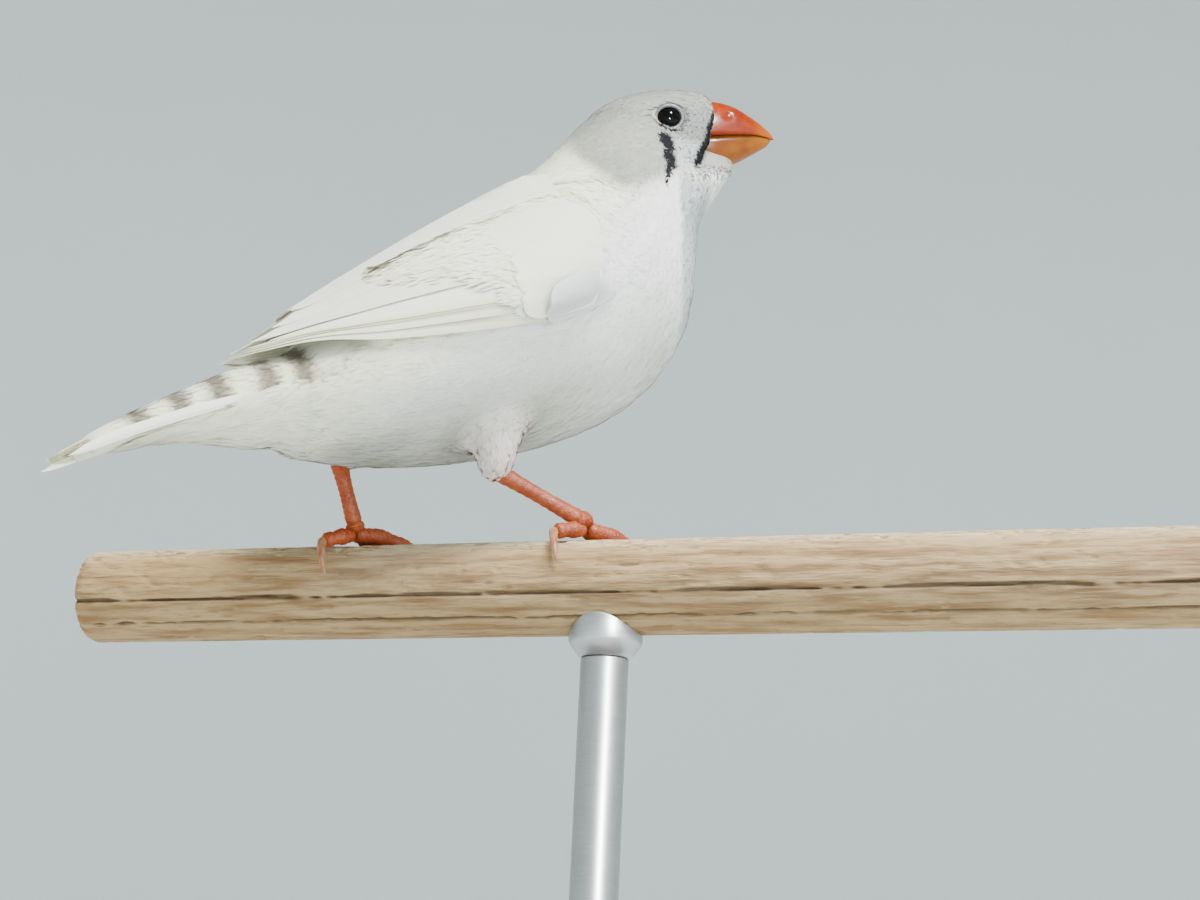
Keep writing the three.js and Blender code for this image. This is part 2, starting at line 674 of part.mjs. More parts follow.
let billUpper = solid(mandible(true, 0));
for (const side of [1, -1]) {
  const nostril = new THREE.SphereGeometry(NOSTRIL_RADIUS, 10, 6).scale(1.3, 1, 0.8);
  billUpper = billUpper.subtract(solid(nostril.translate(NOSTRIL_AT.x, side * NOSTRIL_AT.y, NOSTRIL_AT.z)));
}
piece(bird, "bill_upper", surface(billUpper).applyMatrix4(headMatrix), "bill");
piece(bird, "bill_lower", mandible(false, 0).applyMatrix4(headMatrix), "bill");
piece(bird, "eye_left", eyeball(1, 0).applyMatrix4(headMatrix), "eye");
piece(bird, "eye_right", eyeball(-1, 0).applyMatrix4(headMatrix), "eye");

// Folded wing surface: u runs from wrist to tip, v from the lower edge to the upper
function wingPoint(u, v) {
  const edges = [WING_LOWER, WING_MIDDLE, WING_UPPER].map(
    (guide) => new THREE.Vector3(along(guide, "x", u), along(guide, "y", u), along(guide, "z", u)),
  );
  const weights = [(1 - v) * (1 - 2 * v), 4 * v * (1 - v), v * (2 * v - 1)];
  const point = new THREE.Vector3();
  edges.forEach((edge, k) => point.addScaledVector(edge, weights[k]));
  return point;
}

function wingNormal(u, v) {
  const step = 0.01;
  const lengthways = wingPoint(Math.min(u + step, 1), v).sub(wingPoint(Math.max(u - step, 0), v));
  const across = wingPoint(u, v + step).sub(wingPoint(u, v - step));
  return across.cross(lengthways).normalize().multiplyScalar(-1);
}

// A place on the wing, so many mm above its lower edge and so many out from its surface
function wingPlace(u, height, lift) {
  const width = wingPoint(u, 0).distanceTo(wingPoint(u, 1));
  const v = THREE.MathUtils.clamp(height / width, 0, 1.04);
  return wingPoint(u, v).addScaledVector(wingNormal(Math.min(u, 0.97), v), lift);
}

function wingShield() {
  const rings = [];
  const lengthSteps = 11;
  const acrossSteps = 6;
  for (let r = 0; r <= lengthSteps; r++) {
    const u = (SHIELD_END * r) / lengthSteps;
    const depth = along(SHIELD_DEPTHS, "depth", r / lengthSteps);
    const outer = [];
    const inner = [];
    for (let s = 0; s <= acrossSteps; s++) {
      const v = 0.03 + (0.95 * s) / acrossSteps;
      const rim = Math.sin(Math.PI * v) ** 0.4;
      const p = wingPoint(u, v);
      const n = wingNormal(u, v);
      outer.push(p.clone().addScaledVector(n, -depth));
      inner.unshift(p.clone().addScaledVector(n, -depth - SHIELD_THICK * rim));
    }
    rings.push([...outer, ...inner]);
  }
  return loft(rings);
}

// A row of feathers, the first one on top and each next one lower and under it
function featherRow(row) {
  const feathers = [];
  for (let k = 0; k < row.count; k++) {
    const f = k / (row.count - 1);
    const low = THREE.MathUtils.lerp(row.low[0], row.low[1], f);
    feathers.push(vane(wingPlace, {
      root: row.root,
      tip: THREE.MathUtils.lerp(row.tips[0], row.tips[1], f),
      rootLow: low * row.splay,
      tipLow: low * row.draw,
      wide: row.wide,
      drop: row.drop,
      rootLift: row.lift,
      tipLift: THREE.MathUtils.lerp(row.lifts[0], row.lifts[1], f),
    }));
  }
  return feathers;
}

function mirrored(geometry) {
  const flipped = geometry.clone();
  flipped.scale(1, -1, 1);
  const index = flipped.index.array;
  for (let i = 0; i < index.length; i += 3) [index[i + 1], index[i + 2]] = [index[i + 2], index[i + 1]];
  return flipped;
}

const sideBlock = solid(new THREE.BoxGeometry(200, 100, 200).translate(0, 50 + GAP / 2, 0));
const wingRows = [PRIMARIES, SECONDARIES, TERTIALS, GREATER_COVERTS, MEDIAN_COVERTS];
const wingFeathers = wingRows.flatMap(featherRow);
let wingForm = solid(wingShield());
for (const feather of wingFeathers) wingForm = wingForm.add(solid(feather));
wingForm = wingForm.subtract(grownBody).intersect(sideBlock);
for (const [name, flip] of [["wing_left", false], ["wing_right", true]]) {
  const form = surface(wingForm);
  piece(bird, name, flip ? mirrored(form) : form, "plumage");
}

// Feathered thighs, bare shanks and gripping feet
function perchPoint(x, angle, lift) {
  const r = PERCH_RADIUS + GAP + lift;
  return new THREE.Vector3(x, r * Math.sin(angle), r * Math.cos(angle));
}

// A toe and then its claw run round the dowel from the foot's joint, each along its own heading
function toePath(leg, toe) {
  const r = PERCH_RADIUS + GAP + TOE_REST;
  const steps = 5;
  const points = [];
  for (let i = 0; i <= steps; i++) {
    const d = (toe.length * 1.03 * i) / steps;
    const angle = (leg.foot.y + Math.sin(toe.heading) * d) / r;
    points.push(perchPoint(leg.foot.x + Math.cos(toe.heading) * d, angle, TOE_REST));
  }
  return points;
}

function claw(leg, toe, grow) {
  const r = PERCH_RADIUS + GAP + TOE_REST;
  const startX = leg.foot.x + Math.cos(toe.heading) * toe.length;
  const startAngle = (leg.foot.y + Math.sin(toe.heading) * toe.length) / r;
  const points = CLAW_LIFTS.map((lift, i) => {
    const d = (toe.clawLength * i) / (CLAW_LIFTS.length - 1);
    return perchPoint(startX + Math.cos(toe.claw) * d, startAngle + (Math.sin(toe.claw) * d) / r, lift);
  });
  return limb(points, CLAW_RADII.map((radius) => radius + grow), 6, 6);
}

for (const leg of LEGS) {
  const along01 = [0, 0.25, 0.5, 0.75, 1];
  const shankEnd = leg.foot.clone().lerp(leg.ankle, 0.15);
  const hubTop = leg.foot.clone().lerp(leg.ankle, 0.13);
  const shankRow = along01.map((f) => leg.ankle.clone().lerp(shankEnd, f));
  const shank = solid(limb(shankRow, SHANK_RADII, 8, 12));
  const grownShank = solid(limb(
    [leg.ankle.clone().lerp(shankEnd, -0.04), ...shankRow.slice(1)],
    SHANK_RADII.map((radius) => radius + GAP), 8, 12,
  ).rotateZ(-BODY_YAW));
  const thighCurve = leg.thigh.map(({ x, y, z }) => new THREE.Vector3(x, y, z));
  const thigh = solid(limb(thighCurve, leg.thigh.map(({ radius }) => radius), 9, 14));
  piece(bird, `thigh_${leg.name}`, surface(thigh.subtract(grownBody).subtract(grownShank)), "plumage");
  const bodyInPerchFrame = solid(bodyGeometry(GAP).rotateZ(BODY_YAW));
  piece(grip, `shank_${leg.name}`, surface(shank.subtract(bodyInPerchFrame)), "leg");

  const quarter = Math.PI / 2;
  const toes = [1, 0, -1].map((place, k) => {
    const heading = FOOT_HEADING + leg.side * place * TOE_SPREAD;
    return {
      heading,
      claw: (heading + quarter) / 2,
      length: TOE_LENGTHS[k],
      clawLength: CLAW_LENGTH,
    };
  });
  toes.push({
    heading: HALLUX_HEADING,
    claw: HALLUX_CLAW_HEADING,
    length: HALLUX_LENGTH,
    clawLength: HALLUX_CLAW_LENGTH,
  });
  const hubRow = [hubTop, leg.foot.clone().lerp(hubTop, 0.4), leg.foot.clone().add(HUB_DROP)];
  let foot = solid(limb(hubRow, HUB_RADII, 5, 10));
  for (const toe of toes) foot = foot.add(solid(limb(toePath(leg, toe), TOE_RADII, 10, 7)));
  toes.forEach((toe, k) => {
    foot = foot.subtract(solid(claw(leg, toe, GAP)));
    piece(grip, `claw_${leg.name}_${k + 1}`, claw(leg, toe, 0), "claw");
  });
  piece(grip, `foot_${leg.name}`, surface(foot), "leg");
}

// Perch and stand
const perch = new THREE.CylinderGeometry(PERCH_RADIUS, PERCH_RADIUS, PERCH_LENGTH, 48, 1);
perch.rotateZ(Math.PI / 2);
const perchMesh = piece(model, "perch", perch, "wood");
perchMesh.position.set(PERCH_SHIFT, 0, PERCH_HEIGHT);

const perchSpace = new THREE.CylinderGeometry(PERCH_RADIUS + GAP, PERCH_RADIUS + GAP, 40, 48, 1);
const grownPerch = solid(perchSpace.rotateZ(Math.PI / 2).translate(0, 0, PERCH_HEIGHT));
const plateLength = BASE_LENGTH / 2 - BASE_CORNER;
const plateWidth = BASE_WIDTH / 2 - BASE_CORNER;
const outline = new THREE.Shape();
[[1, 1], [-1, 1], [-1, -1], [1, -1]].forEach(([sx, sy], k) => {
  const start = (k * Math.PI) / 2;
  const end = start + Math.PI / 2;
  outline.absarc(sx * plateLength, sy * plateWidth, BASE_CORNER - BASE_BEVEL, start, end, false);
});
const plate = new THREE.ExtrudeGeometry(outline, {
  depth: BASE_THICK - 2 * BASE_BEVEL,
  bevelSize: BASE_BEVEL,
  bevelThickness: BASE_BEVEL,
  bevelSegments: 1,
  curveSegments: 5,
}).translate(0, 0, BASE_BEVEL);
piece(model, "stand_base", surface(solid(plate)), "base");

function turned(profile, sides) {
  const points = profile.map(([r, z]) => new THREE.Vector2(r, z));
  return new THREE.LatheGeometry(points, sides).rotateX(Math.PI / 2);
}

const rodFoot = BASE_THICK + GAP;
const rodTop = PERCH_HEIGHT - PERCH_RADIUS - SADDLE_DEPTH;
piece(model, "stand_rod", surface(solid(turned([
  [0, rodFoot], [ROD_RADIUS, rodFoot], [ROD_RADIUS, rodTop - GAP], [0, rodTop - GAP],
], STAND_SIDES))), "steel");
const bore = ROD_RADIUS + GAP;
piece(model, "stand_socket", surface(solid(turned([
  [bore, rodFoot], [SOCKET_RADIUS, rodFoot], [SOCKET_RADIUS, rodFoot + SOCKET_HEIGHT - 1],
  [SOCKET_RADIUS - 1, rodFoot + SOCKET_HEIGHT], [bore, rodFoot + SOCKET_HEIGHT], [bore, rodFoot],
], STAND_SIDES))), "steel");
const saddle = solid(turned([
  [0, rodTop], [ROD_RADIUS, rodTop], [SADDLE_RADIUS, rodTop + 2], [SADDLE_RADIUS, rodTop + SADDLE_DEPTH + 3],
  [0, rodTop + SADDLE_DEPTH + 3],
], STAND_SIDES));
piece(model, "stand_saddle", surface(saddle.subtract(grownPerch)), "steel");

export default model;
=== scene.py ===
import bpy
import bmesh
import math
import numpy as np
from mathutils import Matrix, Vector, noise
from mathutils.bvhtree import BVHTree


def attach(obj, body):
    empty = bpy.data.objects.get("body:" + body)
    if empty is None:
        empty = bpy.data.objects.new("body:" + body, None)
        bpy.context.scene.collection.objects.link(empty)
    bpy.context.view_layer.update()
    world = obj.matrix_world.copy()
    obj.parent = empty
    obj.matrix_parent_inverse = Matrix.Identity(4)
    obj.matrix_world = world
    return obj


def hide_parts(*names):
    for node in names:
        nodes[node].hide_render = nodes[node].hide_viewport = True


# Zebra finch, white form, life size, gripping a short length of dowel on a display stand.
# Blender works in metres. Sizes below are in millimetres and are turned into metres by MM.
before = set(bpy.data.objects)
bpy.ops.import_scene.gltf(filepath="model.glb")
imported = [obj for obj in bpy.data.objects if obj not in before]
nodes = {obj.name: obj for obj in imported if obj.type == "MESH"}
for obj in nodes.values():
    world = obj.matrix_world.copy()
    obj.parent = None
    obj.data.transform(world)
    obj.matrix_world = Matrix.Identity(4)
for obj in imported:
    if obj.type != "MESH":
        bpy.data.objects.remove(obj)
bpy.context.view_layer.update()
bpy.ops.object.select_all(action="DESELECT")
MM = 0.001

# Camera: the photograph's own place and lens, low in front of the perch and looking up along the breast.
CAMERA_AT = (94.2, -302.9, 12.7)
CAMERA_LENS = 78
CAMERA_TURN = 17.6
CAMERA_RISE = 15
CAMERA_ROLL = 2.7
bpy.ops.object.camera_add()
camera = bpy.context.object
camera.name = "camera"
camera.data.lens = CAMERA_LENS
camera.data.sensor_width = 36
camera.data.clip_start = 0.01
camera.matrix_world = (
    Matrix.Translation(Vector(CAMERA_AT) * MM)
    @ Matrix.Rotation(math.radians(CAMERA_TURN), 4, "Z")
    @ Matrix.Rotation(math.radians(90 + CAMERA_RISE), 4, "X")
    @ Matrix.Rotation(math.radians(CAMERA_ROLL), 4, "Z")
)
bpy.context.scene.camera = camera

# Skin: the bird's body, neck, head, thighs and the bearing layers of wings and tail as one seamless form.
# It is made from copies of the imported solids, grown together, smoothed and drawn in by the plumage's depth.
FEET_MIDDLE = (-18, 0, 80)
BODY_YAW = 47.6
HEAD_AT = (23.7, 0, 66.8)
HEAD_TURN = -22
HEAD_PITCH = 4
HEAD_ROLL = 12
SKIN_GRAIN = 0.42
SKIN_GROWTH = 0.25

SIDES = ((1, "left"), (-1, "right"))
BIRD = Matrix.Translation(FEET_MIDDLE) @ Matrix.Rotation(math.radians(BODY_YAW), 4, "Z")
HEAD = (
    BIRD
    @ Matrix.Translation(HEAD_AT)
    @ Matrix.Rotation(math.radians(HEAD_TURN), 4, "Z")
    @ Matrix.Rotation(math.radians(-HEAD_PITCH), 4, "Y")
    @ Matrix.Rotation(math.radians(HEAD_ROLL), 4, "X")
)


def placed(matrix, points):
    """Points in the bird's or the head's own millimetres, as millimetres on the stand."""
    turn = np.array(matrix)
    return np.asarray(points, float) @ turn[:3, :3].T + turn[:3, 3]


def seen_from(matrix, points):
    """Points on the stand, as the bird's or the head's own millimetres."""
    return placed(matrix.inverted(), points)


def corners(mesh):
    """The mesh's vertices in millimetres."""
    flat = np.empty(3 * len(mesh.vertices))
    mesh.vertices.foreach_get("co", flat)
    return flat.reshape(-1, 3) / MM


def set_corners(mesh, points):
    mesh.vertices.foreach_set("co", (np.asarray(points) * MM).ravel())
    mesh.update()


def corner_normals(mesh):
    flat = np.empty(3 * len(mesh.vertices))
    mesh.vertices.foreach_get("normal", flat)
    return flat.reshape(-1, 3)


def alone(obj):
    bpy.ops.object.select_all(action="DESELECT")
    obj.select_set(True)
    bpy.context.view_layer.objects.active = obj


def merged_copy(name):
    """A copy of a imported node, its corners merged and grown a little to meet its neighbours."""
    copy = nodes[name].copy()
    copy.data = nodes[name].data.copy()
    copy.parent = None
    copy.matrix_world = Matrix.Identity(4)
    bpy.context.scene.collection.objects.link(copy)
    alone(copy)
    bpy.ops.object.mode_set(mode="EDIT")
    bpy.ops.mesh.select_all(action="SELECT")
    bpy.ops.mesh.remove_doubles(threshold=0.002 * MM)
    bpy.ops.object.mode_set(mode="OBJECT")
    set_corners(copy.data, corners(copy.data) + corner_normals(copy.data) * SKIN_GROWTH)
    return copy


def unit(vectors):
    return vectors / np.maximum(np.linalg.norm(vectors, axis=1, keepdims=True), 1e-9)


# The folded wing's lower edge, middle and upper edge, from shoulder to tip
WING_LOWER = [
    (10.5, 17.1, 37.2), (2, 18, 32.2), (-8, 17.3, 28.8),
    (-20, 13.4, 26.2), (-28, 8.6, 25.6), (-36.5, 1.6, 23.1),
]
WING_MIDDLE = [
    (12.2, 17.2, 44), (2, 18.4, 42.8), (-8.5, 16, 39.1),
    (-20, 10.8, 33.5), (-28, 6.4, 28.8), (-36.9, 1.2, 23.6),
]
WING_UPPER = [
    (8.3, 16.3, 51.8), (1.3, 10.5, 53.9), (-8.8, 5.8, 47.4),
    (-19.7, 3.2, 38.8), (-28.1, 1.8, 31.5), (-37.2, 0.7, 24.1),
]


def along(stations, place):
    """Smooth values along a list of stations, at places from 0 to 1."""
    rows = np.asarray(stations, float)
    last = len(rows) - 1
    spot = np.clip(place, 0, 1) * last
    i = np.minimum(np.floor(spot).astype(int), last - 1)
    f = (spot - i)[..., None]
    here = rows[i]
    ahead = rows[i + 1]
    slope_here = np.where((i > 0)[..., None], (ahead - rows[np.maximum(i - 1, 0)]) / 2, ahead - here)
    beyond = rows[np.minimum(i + 2, last)]
    slope_ahead = np.where((i + 1 < last)[..., None], (beyond - here) / 2, ahead - here)
    return (
        here * (2 * f**3 - 3 * f**2 + 1)
        + slope_here * (f**3 - 2 * f**2 + f)
        + ahead * (3 * f**2 - 2 * f**3)
        + slope_ahead * (f**3 - f**2)
    )


def wing_point(u, v):
    v = v[..., None]
    weights = [(1 - v) * (1 - 2 * v), 4 * v * (1 - v), v * (2 * v - 1)]
    return sum(along(guide, u) * w for guide, w in zip((WING_LOWER, WING_MIDDLE, WING_UPPER), weights))


def wing_normal(u, v):
    step = 0.01
    lengthways = wing_point(np.minimum(u + step, 1), v) - wing_point(np.maximum(u - step, 0), v)
    across = wing_point(u, v + step) - wing_point(u, v - step)
    away = np.cross(lengthways, across)
    return away / np.linalg.norm(away, axis=-1, keepdims=True)


def joined(name, forms):
    """Several forms as one object of that name."""
    alone(forms[0])
    for form in forms[1:]:
        form.select_set(True)
    bpy.ops.object.join()
    forms[0].name = name
    return forms[0]


def tree_of(obj):
    """A form's surface, for finding the places on it nearest to a point."""
    faces = [tuple(face.vertices) for face in obj.data.polygons]
    return BVHTree.FromPolygons([tuple(p) for p in corners(obj.data)], faces)


def turned_outward(obj):
    """Turns every face of a closed form outward."""
    alone(obj)
    bpy.ops.object.mode_set(mode="EDIT")
    bpy.ops.mesh.select_all(action="SELECT")
    bpy.ops.mesh.normals_make_consistent(inside=False)
    bpy.ops.object.mode_set(mode="OBJECT")


def rounded_form(name, segments, rings, shape):
    """A closed form drawn out from a globe: shape gives the place for each share of length and angle."""
    bpy.ops.object.select_all(action="DESELECT")
    bpy.ops.mesh.primitive_uv_sphere_add(segments=segments, ring_count=rings, radius=1)
    form = bpy.context.object
    form.name = name
    unit_points = corners(form.data) * MM
    share = np.arccos(np.clip(unit_points[:, 2], -1, 1)) / math.pi
    turn = np.arctan2(unit_points[:, 1], unit_points[:, 0])
    set_corners(form.data, shape(share, turn))
    turned_outward(form)
    bpy.ops.object.shade_smooth()
    return form


# The tail from rump to tip: x, ridge, edge and keel heights, and half width
TAIL_STATIONS = [
    (-23, 28.2, 21.6, 14.2, 7.9), (-30, 25, 19.4, 13.4, 7.2), (-36.5, 21.4, 16.6, 13, 5.6),
    (-43, 17.4, 13.6, 11.9, 5), (-49.9, 12.8, 10.2, 9.2, 4.8), (-56.3, 7.8, 6.6, 5.8, 4.5),
]
# The bearing layers of wings and tail reach this share of their length, and lie this far out or in, in mm
WING_CORE_END = 0.66
WING_CORE_OUT = 0.15
WING_CORE_IN = 2.9
WING_CORE_SUNK = 2.8
TAIL_CORE_END = 0.9


def ramp(values, low, high):
    """0 below low, 1 above high, and smooth between them."""
    share = np.clip((values - low) / (high - low), 0, 1)
    return share * share * (3 - 2 * share)


def wing_core(side):
    def shape(share, turn):
        cap = np.sqrt(np.clip(1 - (1 - np.minimum(share, 1 - share) / 0.05).clip(0) ** 2, 0, 1))
        v = 0.5 - 0.47 * np.cos(turn) * cap
        rim = np.abs(np.sin(turn)) ** 0.5 * cap
        lift = np.where(np.sin(turn) > 0, WING_CORE_OUT * rim, -WING_CORE_IN * rim)
        lift = lift - WING_CORE_SUNK * (1 - ramp(share, 0, 0.25)) - 0.5 * WING_CORE_SUNK * ramp(v, 0.8, 0.97)
        u = WING_CORE_END * share
        spot = wing_point(u, v) + wing_normal(u, v) * lift[:, None]
        return placed(BIRD, spot * (1, side, 1))
    return shape


def tail_roof(t, across):
    """Height of the tail's upper side as a share of its ridge: full at the rump, peaked behind."""
    return np.maximum(0, 1 - across * across) ** (0.38 + 0.27 * np.clip(t / 0.4, 0, 1))


def tail_core(share, turn):
    t = TAIL_CORE_END * share
    x, ridge, edge, keel, wide = (along(TAIL_STATIONS, t)[:, k] for k in range(5))
    cap = np.sqrt(np.clip(1 - (1 - np.minimum(share, 1 - share) / 0.04).clip(0) ** 2, 0, 1))
    across = np.cos(turn) * cap
    below = -np.sqrt(np.maximum(0, 1 - across**2)) * (edge - keel)
    z = np.where(np.sin(turn) > 0, (ridge - edge) * tail_roof(t, across), below)
    return placed(BIRD, np.column_stack([x, wide * across, edge + z * cap]))


def limb(line, radii, front, scutes=1, depth=0.0):
    """Shape of a limb along a line of points: its radius steps down a little at each scute of its front."""
    line = np.asarray(line, float)
    lengths = np.concatenate([[0], np.cumsum(np.linalg.norm(np.diff(line, axis=0), axis=1))])
    total = lengths[-1]

    def middle_at(run):
        return np.stack([np.interp(run, lengths, line[:, k]) for k in range(3)], axis=1)

    def shape(share, turn):
        end = 0.5 * (1 - np.cos(share * math.pi))
        t = np.clip(0.5 * share + 0.5 * end, 0, 1)
        radius = along([(r,) for r in radii], t)[:, 0]
        cap_start = np.sqrt(np.clip(1 - (1 - np.clip(t * total / radii[0], 0, 1)) ** 2, 0, 1))
        cap_end = np.sqrt(np.clip(1 - (1 - np.clip((1 - t) * total / radii[-1], 0, 1)) ** 2, 0, 1))
        middle = middle_at(t * total)
        ahead = middle_at(np.minimum(t * total + 0.1, total))
        behind = middle_at(np.maximum(t * total - 0.1, 0))
        course = unit(ahead - behind)
        up = unit(front(middle) - course * np.sum(front(middle) * course, axis=1, keepdims=True))
        side = np.cross(course, up)
        face = np.cos(turn)
        saw = (t * scutes) % 1
        plate = depth * (0.5 - saw) * ramp(face, -0.1, 0.5)
        creases = depth * 0.45 * np.sin(t * scutes * 2.7 * math.pi + 3 * turn) * ramp(-face, 0.0, 0.6)
        radius = (radius + plate + creases) * cap_start * cap_end
        return middle + up * (radius * face)[:, None] + side * (radius * np.sin(turn))[:, None]
    return shape


# The thighs run from inside the flanks to the shanks
THIGHS = [
    [(-0.8, -5.4, 25), (-1.9, -7.9, 19.2), (-2.3, -8.9, 11.7)],
    [(-8, 6.6, 26), (-12.3, 8.4, 20.6), (-15.3, 8.9, 14.9)],
]
THIGH_RADII = [4.2, 4.4, 3.6, 2.9, 1.9]


def thigh_front(points):
    return np.broadcast_to((0.8, 0, 0.6), points.shape)


def on_bird(shape):
    return lambda share, turn: placed(BIRD, shape(share, turn))


FLESH = ["torso", "neck", "head"]
copies = [merged_copy(name) for name in FLESH]
for line in THIGHS:
    copies.append(rounded_form("core", 32, 48, on_bird(limb(line, THIGH_RADII, thigh_front))))
core = rounded_form("core", 48, 90, tail_core)
copies.append(core)
tail_tree = tree_of(core)
wing_trees = []
for side in (1, -1):
    core = rounded_form("core", 48, 60, wing_core(side))
    copies.append(core)
    wing_trees.append(tree_of(core))
skin = joined("skin", copies)
skin.data.materials.clear()


def keep_largest_island(obj):
    """Drops the scraps that remeshing leaves inside a form."""
    form = bmesh.new()
    form.from_mesh(obj.data)
    left = set(form.verts)
    islands = []
    while left:
        start = left.pop()
        island = [start]
        queue = [start]
        while queue:
            vert = queue.pop()
            for edge in vert.link_edges:
                other = edge.other_vert(vert)
                if other in left:
                    left.remove(other)
                    island.append(other)
                    queue.append(other)
        islands.append(island)
    islands.sort(key=len)
    for island in islands[:-1]:
        bmesh.ops.delete(form, geom=island, context="VERTS")
    form.to_mesh(obj.data)
    form.free()


def smoothed(obj, rounds):
    """Evens a form out all over."""
    alone(obj)
    bpy.ops.object.modifier_add(type="SMOOTH")
    obj.modifiers["Smooth"].factor = 0.5
    obj.modifiers["Smooth"].iterations = rounds
    bpy.ops.object.modifier_apply(modifier="Smooth")


def remeshed(obj):
    """Draws one even surface round a form, and drops what that leaves inside it."""
    alone(obj)
    obj.data.remesh_voxel_size = SKIN_GRAIN * MM
    bpy.ops.object.voxel_remesh()
    keep_largest_island(obj)


# Growing the form and shrinking it again closes the creases at throat, shoulders and thighs
CREASE_REACH = 1.7
remeshed(skin)
smoothed(skin, 4)
for reach, rounds in ((CREASE_REACH, 4), (0.1 - CREASE_REACH, 9)):
    set_corners(skin.data, corners(skin.data) + corner_normals(skin.data) * reach)
    remeshed(skin)
    smoothed(skin, rounds)

EYE_AT = (1.25, 3.9, 2.15)
EYE_RADIUS = 2.6
CHIN_TOP_Z = -3.5
THROAT_BACK = 0.5
THROAT_FULLNESS = 0.97
BILL_BORDER = ([-3.5, -2.1, -0.9, 0.8, 2.6, 3.9], [5.75, 6.5, 7.2, 7.35, 8.0, 8.2])


def bill_line(z):
    """Where the feathers end and the bill begins, by height, in the head's frame."""
    return np.interp(z, *BILL_BORDER)


# The bird's own axis, from the bill's root over head, neck and back to the tail's tip, in its own frame.
AXIS = np.vstack([
    seen_from(BIRD, placed(HEAD, [(9, 0, 1.5), (2, 0, 0.5), (-4, 0, -2)])),
    [(18.6, 0, 59), (13, 0, 50), (6, 0, 42), (-2, 0, 35), (-10, 0, 29.3), (-19.5, 0, 24.2)],
    [(-29, 0, 19.5), (-40, 0, 14.6), (-57, 0, 6)],
])
AXIS_LENGTHS = np.linalg.norm(np.diff(AXIS, axis=0), axis=1)


def axis_place(points):
    """For points on the bird: distance along its axis, angle round it and direction of the lie."""
    own = seen_from(BIRD, points)
    starts = np.concatenate([[0], np.cumsum(AXIS_LENGTHS)])
    weights = []
    spots = []
    for k, length in enumerate(AXIS_LENGTHS):
        step = (AXIS[k + 1] - AXIS[k]) / length
        share = np.clip((own - AXIS[k]) @ step, 0, length)
        gap = np.linalg.norm(own - AXIS[k] - share[:, None] * step, axis=1)
        weights.append(1 / (gap + 0.5) ** 5)
        spots.append(starts[k] + share)
    weights = np.array(weights) / np.sum(weights, axis=0)
    along_axis = np.sum(weights * np.array(spots), axis=0)
    lie = weights.T @ (np.diff(AXIS, axis=0) / AXIS_LENGTHS[:, None])
    middle = np.stack([np.interp(along_axis, starts, AXIS[:, k]) for k in range(3)], axis=1)
    out = own - middle
    lie /= np.linalg.norm(lie, axis=1, keepdims=True)
    up = np.cross(lie, [0, 1, 0])
    angle = np.arctan2(out[:, 1], np.sum(out * up, axis=1))
    return along_axis, angle, lie @ np.array(BIRD.to_3x3()).T


def eye_gap(points):
    """Distance from the nearer eye's middle, over the skin's side of the head."""
    own = seen_from(HEAD, points)
    own[:, 1] = np.abs(own[:, 1])
    return np.hypot(own[:, 0] - EYE_AT[0], 1.2 * (own[:, 2] - EYE_AT[2])) + np.where(own[:, 1] < 2, 9, 0)


# Depth of the plumage over the skin, by distance along the axis
COAT_DEPTHS = ([0, 6, 16, 28, 45, 80, 95, 120], [0.2, 0.26, 0.34, 0.4, 0.46, 0.46, 0.4, 0.34])
skin_points = corners(skin.data)
skin_depth = np.interp(axis_place(skin_points)[0], *COAT_DEPTHS) + SKIN_GROWTH
set_corners(skin.data, skin_points - corner_normals(skin.data) * skin_depth[:, None])


def evened(values):
    """Each value as the mean of the five round it."""
    return np.convolve(np.pad(values, 2, "edge"), np.ones(5) / 5, "valid")


# The throat is full: between cheeks and front line each level of it is at least an ellipse
skin_points = seen_from(HEAD, corners(skin.data))
levels = np.arange(-16, -2.4, 0.5)
fronts = []
widths = []
for level in levels:
    near = skin_points[np.abs(skin_points[:, 2] - level) < 0.6]
    fronts.append(near[np.abs(near[:, 1]) < 1.5, 0].max())
    widths.append(np.abs(near[np.abs(near[:, 0] - THROAT_BACK) < 1, 1]).max())
front = np.interp(skin_points[:, 2], levels, evened(fronts))
width = np.interp(skin_points[:, 2], levels, evened(widths))
ahead = np.clip((skin_points[:, 0] - THROAT_BACK) / (front - THROAT_BACK), 0, 1)
full = THROAT_FULLNESS * width * np.sqrt(1 - ahead**2)
throat = ramp(ahead, 0, 0.3) * ramp(-skin_points[:, 2], 2, 8) * (1 - ramp(-skin_points[:, 2], 10, 15))
short = np.maximum(full - np.abs(skin_points[:, 1]), 0) * throat * ramp(np.abs(skin_points[:, 1]), 0, 1.5)
skin_points[:, 1] += np.sign(skin_points[:, 1]) * short
set_corners(skin.data, placed(HEAD, skin_points))
smoothed(skin, 4)

# The tail keeps its thin blade
skin_points = corners(skin.data)
own = seen_from(BIRD, skin_points)
on_tail = 1 - ramp(own[:, 0], -33, -27)
for k in np.nonzero(on_tail > 0)[0]:
    nearest = np.array(tail_tree.find_nearest(Vector(skin_points[k]))[0])
    skin_points[k] += (nearest - skin_points[k]) * on_tail[k]
set_corners(skin.data, skin_points)

# Eye sockets: the skin dips inside each eyeball
skin_points = seen_from(HEAD, corners(skin.data))
socket = 1 - ramp(eye_gap(placed(HEAD, skin_points)), 1.5, 2.2)
sunk = np.sign(skin_points[:, 1]) * (EYE_AT[1] - 0.4)
skin_points[:, 1] += (sunk - skin_points[:, 1]) * socket

